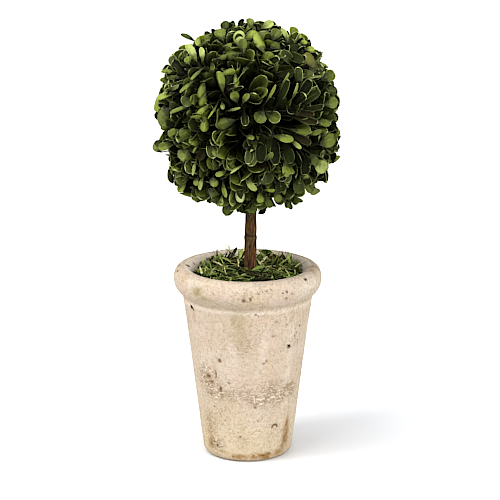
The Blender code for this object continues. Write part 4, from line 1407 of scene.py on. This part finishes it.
def make_moss(base_mat, mats):
    rng = np.random.default_rng(77)
    # the matted under-layer
    na, nr = 120, 40
    r = np.linspace(0.0, 0.0432, nr)
    a = np.arange(na) * 2 * math.pi / na
    Rg, Ag = np.meshgrid(r[1:], a, indexing="ij")
    x, y = (Rg * np.cos(Ag)).ravel(), (Rg * np.sin(Ag)).ravel()
    P = np.stack([x, y, np.zeros_like(x)], 1)
    z = moss_height(x, y) - 0.0026 + 0.0011 * fbm(P, 160.0, 3, 2)
    P[:, 2] = z
    low = P.copy()
    low[:, 2] = 0.1456
    ring = low[-na:]
    top_c = np.array([[0, 0, 0.1507]])
    low_c = np.array([[0, 0, 0.1456]])
    V = np.concatenate([P, ring, top_c, low_c])
    i = np.arange(nr - 2)[:, None] * na
    j = np.arange(na)[None, :]
    quads = np.stack([i + j, i + na + j, i + na + (j + 1) % na, i + (j + 1) % na], -1).reshape(-1, 4)
    lastr = (nr - 2) * na
    j = np.arange(na)
    skirt = np.stack([lastr + j, len(P) + j, len(P) + (j + 1) % na, lastr + (j + 1) % na], 1)
    c0, c1 = len(P) + na, len(P) + na + 1
    tris = np.concatenate([np.stack([np.full(na, c0), j, (j + 1) % na], 1),
                           np.stack([np.full(na, c1), len(P) + (j + 1) % na, len(P) + j], 1)])
    base = mesh_object("moss_bed", V, [np.concatenate([quads, skirt]), tris], [base_mat])
    # loose flat strands lying over it, the lower ones darker
    pile = Pile()

    def strand(c, head, length, width, rise, turn, arc, pick, m=6):
        s = np.linspace(-0.5, 0.5, m)
        ang = head + turn * s
        flat = math.cos(rise)
        step = np.stack([np.cos(ang) * flat, np.sin(ang) * flat, np.full(m, math.sin(rise))], 1)
        step = step * (length / (m - 1))
        pts = c + np.cumsum(step, 0) - step.sum(0) / 2
        pts[:, 2] += arc * np.cos(math.pi * s) * length
        rad = np.hypot(pts[:, 0], pts[:, 1])
        wall = 0.0432 + 0.10 * (np.clip(pts[:, 2], 0.146, 0.156) - 0.146)
        over = rad > wall
        pts[over, :2] *= (wall[over] / rad[over])[:, None]
        t = unit(np.gradient(pts, axis=0))
        up = unit(np.array([rng.normal(0, 0.55), rng.normal(0, 0.55), 1.0]))
        sd = unit(np.cross(t, up))
        nn = np.cross(sd, t)
        taper = np.interp(np.linspace(0, 1, m), [0, 0.2, 0.5, 0.8, 1.0],
                          [0.40, 0.90, 1.0, 0.75, 0.15])[:, None] * width
        v = np.concatenate([pts + sd * taper, pts - sd * taper, pts + nn * width * 0.30])
        a0 = np.arange(m - 1)
        q = np.concatenate([
            np.stack([a0, a0 + 1, a0 + 1 + 2 * m, a0 + 2 * m], 1),
            np.stack([a0 + 2 * m, a0 + 1 + 2 * m, a0 + 1 + m, a0 + m], 1),
            np.stack([a0 + m, a0 + 1 + m, a0 + 1, a0], 1)])
        tr = np.array([[0, 2 * m, m], [m - 1, 2 * m - 1, 3 * m - 1]])
        pile.add(v, q, tr, int(pick))

    for k in range(1350):
        rr = 0.0425 * math.sqrt(rng.uniform(0.012, 1.0))
        th = rng.uniform(0, 2 * math.pi)
        x, y = rr * math.cos(th), rr * math.sin(th)
        layer = rng.uniform(0, 1) ** 0.8
        z = moss_height(x, y) - 0.0014 + 0.0040 * layer
        length = rng.uniform(0.007, 0.012) if rng.uniform() < 0.55 else rng.uniform(0.011, 0.016)
        width = rng.uniform(0.00042, 0.00100)
        if layer < 0.45:
            pick = rng.choice(7, p=[0.46, 0.36, 0.15, 0.03, 0.0, 0.0, 0.0])
        else:
            pick = rng.choice(7, p=[0.13, 0.20, 0.23, 0.21, 0.14, 0.06, 0.03])
        strand(np.array([x, y, z]), rng.uniform(0, 2 * math.pi), length, width,
               abs(rng.normal(0.05, 0.22)) * (0.4 + layer), rng.normal(0, 0.8), rng.uniform(-0.05, 0.12), pick)
    # tufts: high behind the stem, against the back of the wall
    tufts = ((-0.017, 0.021, 0.0090, 44, 0.0080), (-0.026, 0.015, 0.0060, 18, 0.0050),
             (-0.008, 0.031, 0.0060, 18, 0.0060), (0.015, 0.026, 0.0090, 62, 0.0095),
             (0.027, 0.020, 0.0080, 50, 0.0085), (0.035, 0.006, 0.0060, 18, 0.0040),
             (0.006, 0.014, 0.0050, 12, 0.0040), (-0.010, -0.016, 0.0100, 16, 0.0020),
             (0.020, -0.012, 0.0100, 18, 0.0025), (-0.030, -0.010, 0.0070, 14, 0.0025))
    for cx, cy, spread, count, high in tufts:
        for k in range(count):
            x, y = rng.normal(cx, spread * 0.6), rng.normal(cy, spread * 0.6)
            length = rng.uniform(0.009, 0.016)
            rise = rng.uniform(0.15, 0.95) * min(1.0, high / 0.006 + 0.2)
            z = moss_height(x, y) + 0.0010 + 0.45 * length * math.sin(rise) * rng.uniform(0.5, 1.0) \
                + high * 0.45 * rng.uniform(0, 1)
            pick = rng.choice(7, p=[0.12, 0.14, 0.17, 0.22, 0.23, 0.08, 0.04] if cx > 0.0
                              else [0.18, 0.16, 0.19, 0.19, 0.17, 0.07, 0.04])
            strand(np.array([x, y, z]), rng.uniform(0, 2 * math.pi), length, rng.uniform(0.0005, 0.0011),
                   rise, rng.normal(0, 0.7), rng.uniform(-0.10, 0.10), pick, 7)
    # a few broad curled flakes
    flakes = ((0.0165, 0.0285, 0.1590, 2.9, 0.012, 0.0027, 0.25, 3), (0.0235, 0.0240, 0.1570, 2.4, 0.010, 0.0018, 0.2, 6),
              (-0.0120, 0.0250, 0.1600, 1.0, 0.012, 0.0014, 0.6, 1), (-0.0150, 0.0220, 0.1600, 2.2, 0.013, 0.0012, 0.5, 2),
              (-0.0060, 0.0180, 0.1610, 1.2, 0.010, 0.0017, 0.8, 4), (-0.0250, 0.0180, 0.1580, 0.5, 0.013, 0.0015, 0.3, 3),
              (-0.0080, 0.0040, 0.1570, 1.6, 0.008, 0.0011, 0.7, 5), (0.0080, -0.0100, 0.1565, 0.4, 0.013, 0.0014, 0.15, 3),
              (-0.0200, -0.0100, 0.1560, 2.0, 0.012, 0.0013, 0.15, 2), (0.0280, -0.0020, 0.1550, 1.0, 0.011, 0.0014, 0.2, 3),
              (-0.0110, -0.0230, 0.1545, 2.7, 0.012, 0.0014, 0.1, 4), (0.0210, -0.0200, 0.1550, 0.6, 0.012, 0.0013, 0.1, 4),
              (0.0330, 0.0130, 0.1570, 1.9, 0.011, 0.0013, 0.6, 4), (0.0120, 0.0120, 0.1570, 0.8, 0.012, 0.0012, 0.5, 5))
    for x, y, z, head, length, width, rise, pick in flakes:
        strand(np.array([x, y, z]), head, length, width, rise, 0.5, 0.10, pick, 7)
    strands = pile.make("moss_strands", mats, smooth=False)
    return base, strands


# ---------------------------------------------------------------------- build
clay = clay_material()
bark = bark_material()
twigs = [twig_material("twig_green", (0.09, 0.09, 0.03)), twig_material("twig_brown", (0.06, 0.042, 0.024)),
         twig_material("stalk", (0.030, 0.030, 0.010))]

pot = make_pot(clay)
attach(pot, "root")
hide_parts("pot")

trunk = make_trunk(bark)
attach(trunk, "root")
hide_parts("trunk")

bed, strands = make_moss(fibre_material("moss_bed", (0.012, 0.013, 0.006)),
                         [fibre_material(n, c) for n, c in FIBRES])
for piece in (bed, strands):
    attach(piece, "root")
    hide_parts("moss")

leaf_mats = [leaf_material(n, c, r, 0.26, 0.12 if c[1] < 0.05 else 0.42) for n, c, r in TOPS]
leaf_mats += [leaf_material(n, c, r, 0.10, 0.30) for n, c, r in EDGES]

leaves, sticks, boughs = make_crown(bark, twigs)
pieces = leaves.make("leaves", leaf_mats, 190000)
stick = sticks.make("twigs", twigs)
bough = boughs.make("boughs", [bark])
print("twig triangles", sum(len(p.vertices) - 2 for p in stick.data.polygons),
      "moss", sum(len(p.vertices) - 2 for o in (bed, strands) for p in o.data.polygons))
for piece in pieces + [stick]:
    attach(piece, "root")
    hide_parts("crown")
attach(bough, "root")
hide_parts("crown")

# the hidden potting plug keeps its CAD shape and gets a rough dark finish
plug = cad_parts["potting_fill"]
soil = fibre_material("potting_mix", (0.045, 0.032, 0.022))
for s in plug.material_slots:
    s.material = soil
if not plug.material_slots:
    plug.data.materials.append(soil)

# --------------------------------------------------------------- stage, light
floor_me = bpy.data.meshes.new("floor")
ring = [(0.385 * math.cos(k * math.pi / 48), 0.385 * math.sin(k * math.pi / 48), 0.0) for k in range(96)]
floor_me.from_pydata(ring, [], [tuple(range(96))])
floor = bpy.data.objects.new("floor", floor_me)
bpy.context.scene.collection.objects.link(floor)
fm = bpy.data.materials.new("pale_floor")
fm.use_nodes = True
fb = fm.node_tree.nodes["Principled BSDF"]
fb.inputs["Base Color"].default_value = (0.775, 0.785, 0.800, 1.0)
fb.inputs["Roughness"].default_value = 0.9
fb.inputs["Specular IOR Level"].default_value = 0.1
floor_me.materials.append(fm)

world = bpy.data.worlds.new("studio")
bpy.context.scene.world = world
world.use_nodes = True
wt = world.node_tree
bg = wt.nodes["Background"]
# the studio's dim ceiling above, its bright floor carried on below
where = wt.nodes.new("ShaderNodeTexCoord")
parts = wt.nodes.new("ShaderNodeSeparateXYZ")
rise = wt.nodes.new("ShaderNodeMapRange")
rise.inputs["From Min"].default_value = -0.06
rise.inputs["From Max"].default_value = 0.06
rise.inputs["To Min"].default_value = 0.90
rise.inputs["To Max"].default_value = 0.58
dim = wt.nodes.new("ShaderNodeMapRange")
dim.inputs["From Min"].default_value = 0.25
dim.inputs["From Max"].default_value = 0.65
dim.inputs["To Min"].default_value = 0.0
dim.inputs["To Max"].default_value = 0.42
total = wt.nodes.new("ShaderNodeMath")
total.operation = "SUBTRACT"
wt.links.new(where.outputs["Generated"], parts.inputs[0])
wt.links.new(parts.outputs["Z"], rise.inputs["Value"])
wt.links.new(parts.outputs["Z"], dim.inputs["Value"])
wt.links.new(rise.outputs["Result"], total.inputs[0])
wt.links.new(dim.outputs["Result"], total.inputs[1])
wt.links.new(total.outputs[0], bg.inputs["Strength"])
bg.inputs["Color"].default_value = (1.0, 1.0, 1.0, 1.0)
seen = wt.nodes.new("ShaderNodeBackground")
seen.inputs["Color"].default_value = (1.0, 1.0, 1.0, 1.0)
seen.inputs["Strength"].default_value = 1.15
path = wt.nodes.new("ShaderNodeLightPath")
pick = wt.nodes.new("ShaderNodeMixShader")
wt.links.new(path.outputs["Is Camera Ray"], pick.inputs[0])
wt.links.new(bg.outputs[0], pick.inputs[1])
wt.links.new(seen.outputs[0], pick.inputs[2])
wt.links.new(pick.outputs[0], wt.nodes["World Output"].inputs["Surface"])


def area(name, loc, target, size, power, color=(1, 1, 1)):
    from mathutils import Vector
    li = bpy.data.lights.new(name, "AREA")
    li.shape = "RECTANGLE"
    li.size, li.size_y = size
    li.energy = power
    li.color = color
    ob = bpy.data.objects.new(name, li)
    bpy.context.scene.collection.objects.link(ob)
    ob.location = loc
    ob.rotation_euler = (Vector(target) - Vector(loc)).to_track_quat("-Z", "Y").to_euler()
    return ob


area("key_left", (-0.82, -0.34, 1.62), (0, 0, 0.14), (0.55, 1.5), 24.0)
area("top", (0.05, 0.05, 2.2), (0, 0, 0.20), (1.2, 1.0), 17.5)
area("fill_right", (1.40, -1.20, 1.20), (0, 0, 0.16), (0.9, 0.9), 28.5)
area("fill_left", (-1.30, -1.30, 1.00), (0, 0, 0.16), (0.9, 0.9), 16.0)
area("side_right", (1.55, 0.20, 0.85), (0, 0, 0.15), (0.8, 0.8), 5.0)
area("side_left", (-1.55, 0.20, 0.80), (0, 0, 0.15), (0.8, 0.8), 3.5)
area("back", (-0.20, 1.90, 1.20), (0, 0, 0.16), (1.2, 0.9), 4.0)
area("front", (0.15, -2.1, 0.95), (0, 0, 0.16), (0.8, 0.6), 9.0)

# the photograph is crisply sharpened: so is the picture, lightly
scene_ = bpy.context.scene
scene_.use_nodes = True
tree = scene_.node_tree
for n_ in list(tree.nodes):
    tree.nodes.remove(n_)
layers = tree.nodes.new("CompositorNodeRLayers")
crisp = tree.nodes.new("CompositorNodeFilter")
crisp.filter_type = "DIAMOND_SHARPEN" if "DIAMOND_SHARPEN" in [
    i.identifier for i in crisp.bl_rna.properties["filter_type"].enum_items] else "SHARPEN"
crisp.inputs["Fac"].default_value = 0.07
result = tree.nodes.new("CompositorNodeComposite")
tree.links.new(layers.outputs["Image"], crisp.inputs["Image"])
tree.links.new(crisp.outputs["Image"], result.inputs["Image"])

cam = bpy.data.cameras.new("camera")
cam.lens = 144.0
cam.sensor_width = 36.0
cam.clip_start = 0.05
cam.clip_end = 60.0
cam_ob = bpy.data.objects.new("camera", cam)
bpy.context.scene.collection.objects.link(cam_ob)
cam_ob.location = (0.0019, -1.5698, 0.5696)
cam_ob.rotation_euler = (math.radians(90.0 - 14.3), 0.0, 0.0)
bpy.context.scene.camera = cam_ob
view = bpy.context.scene.view_settings
view.view_transform = "Standard"
view.gamma = 0.82
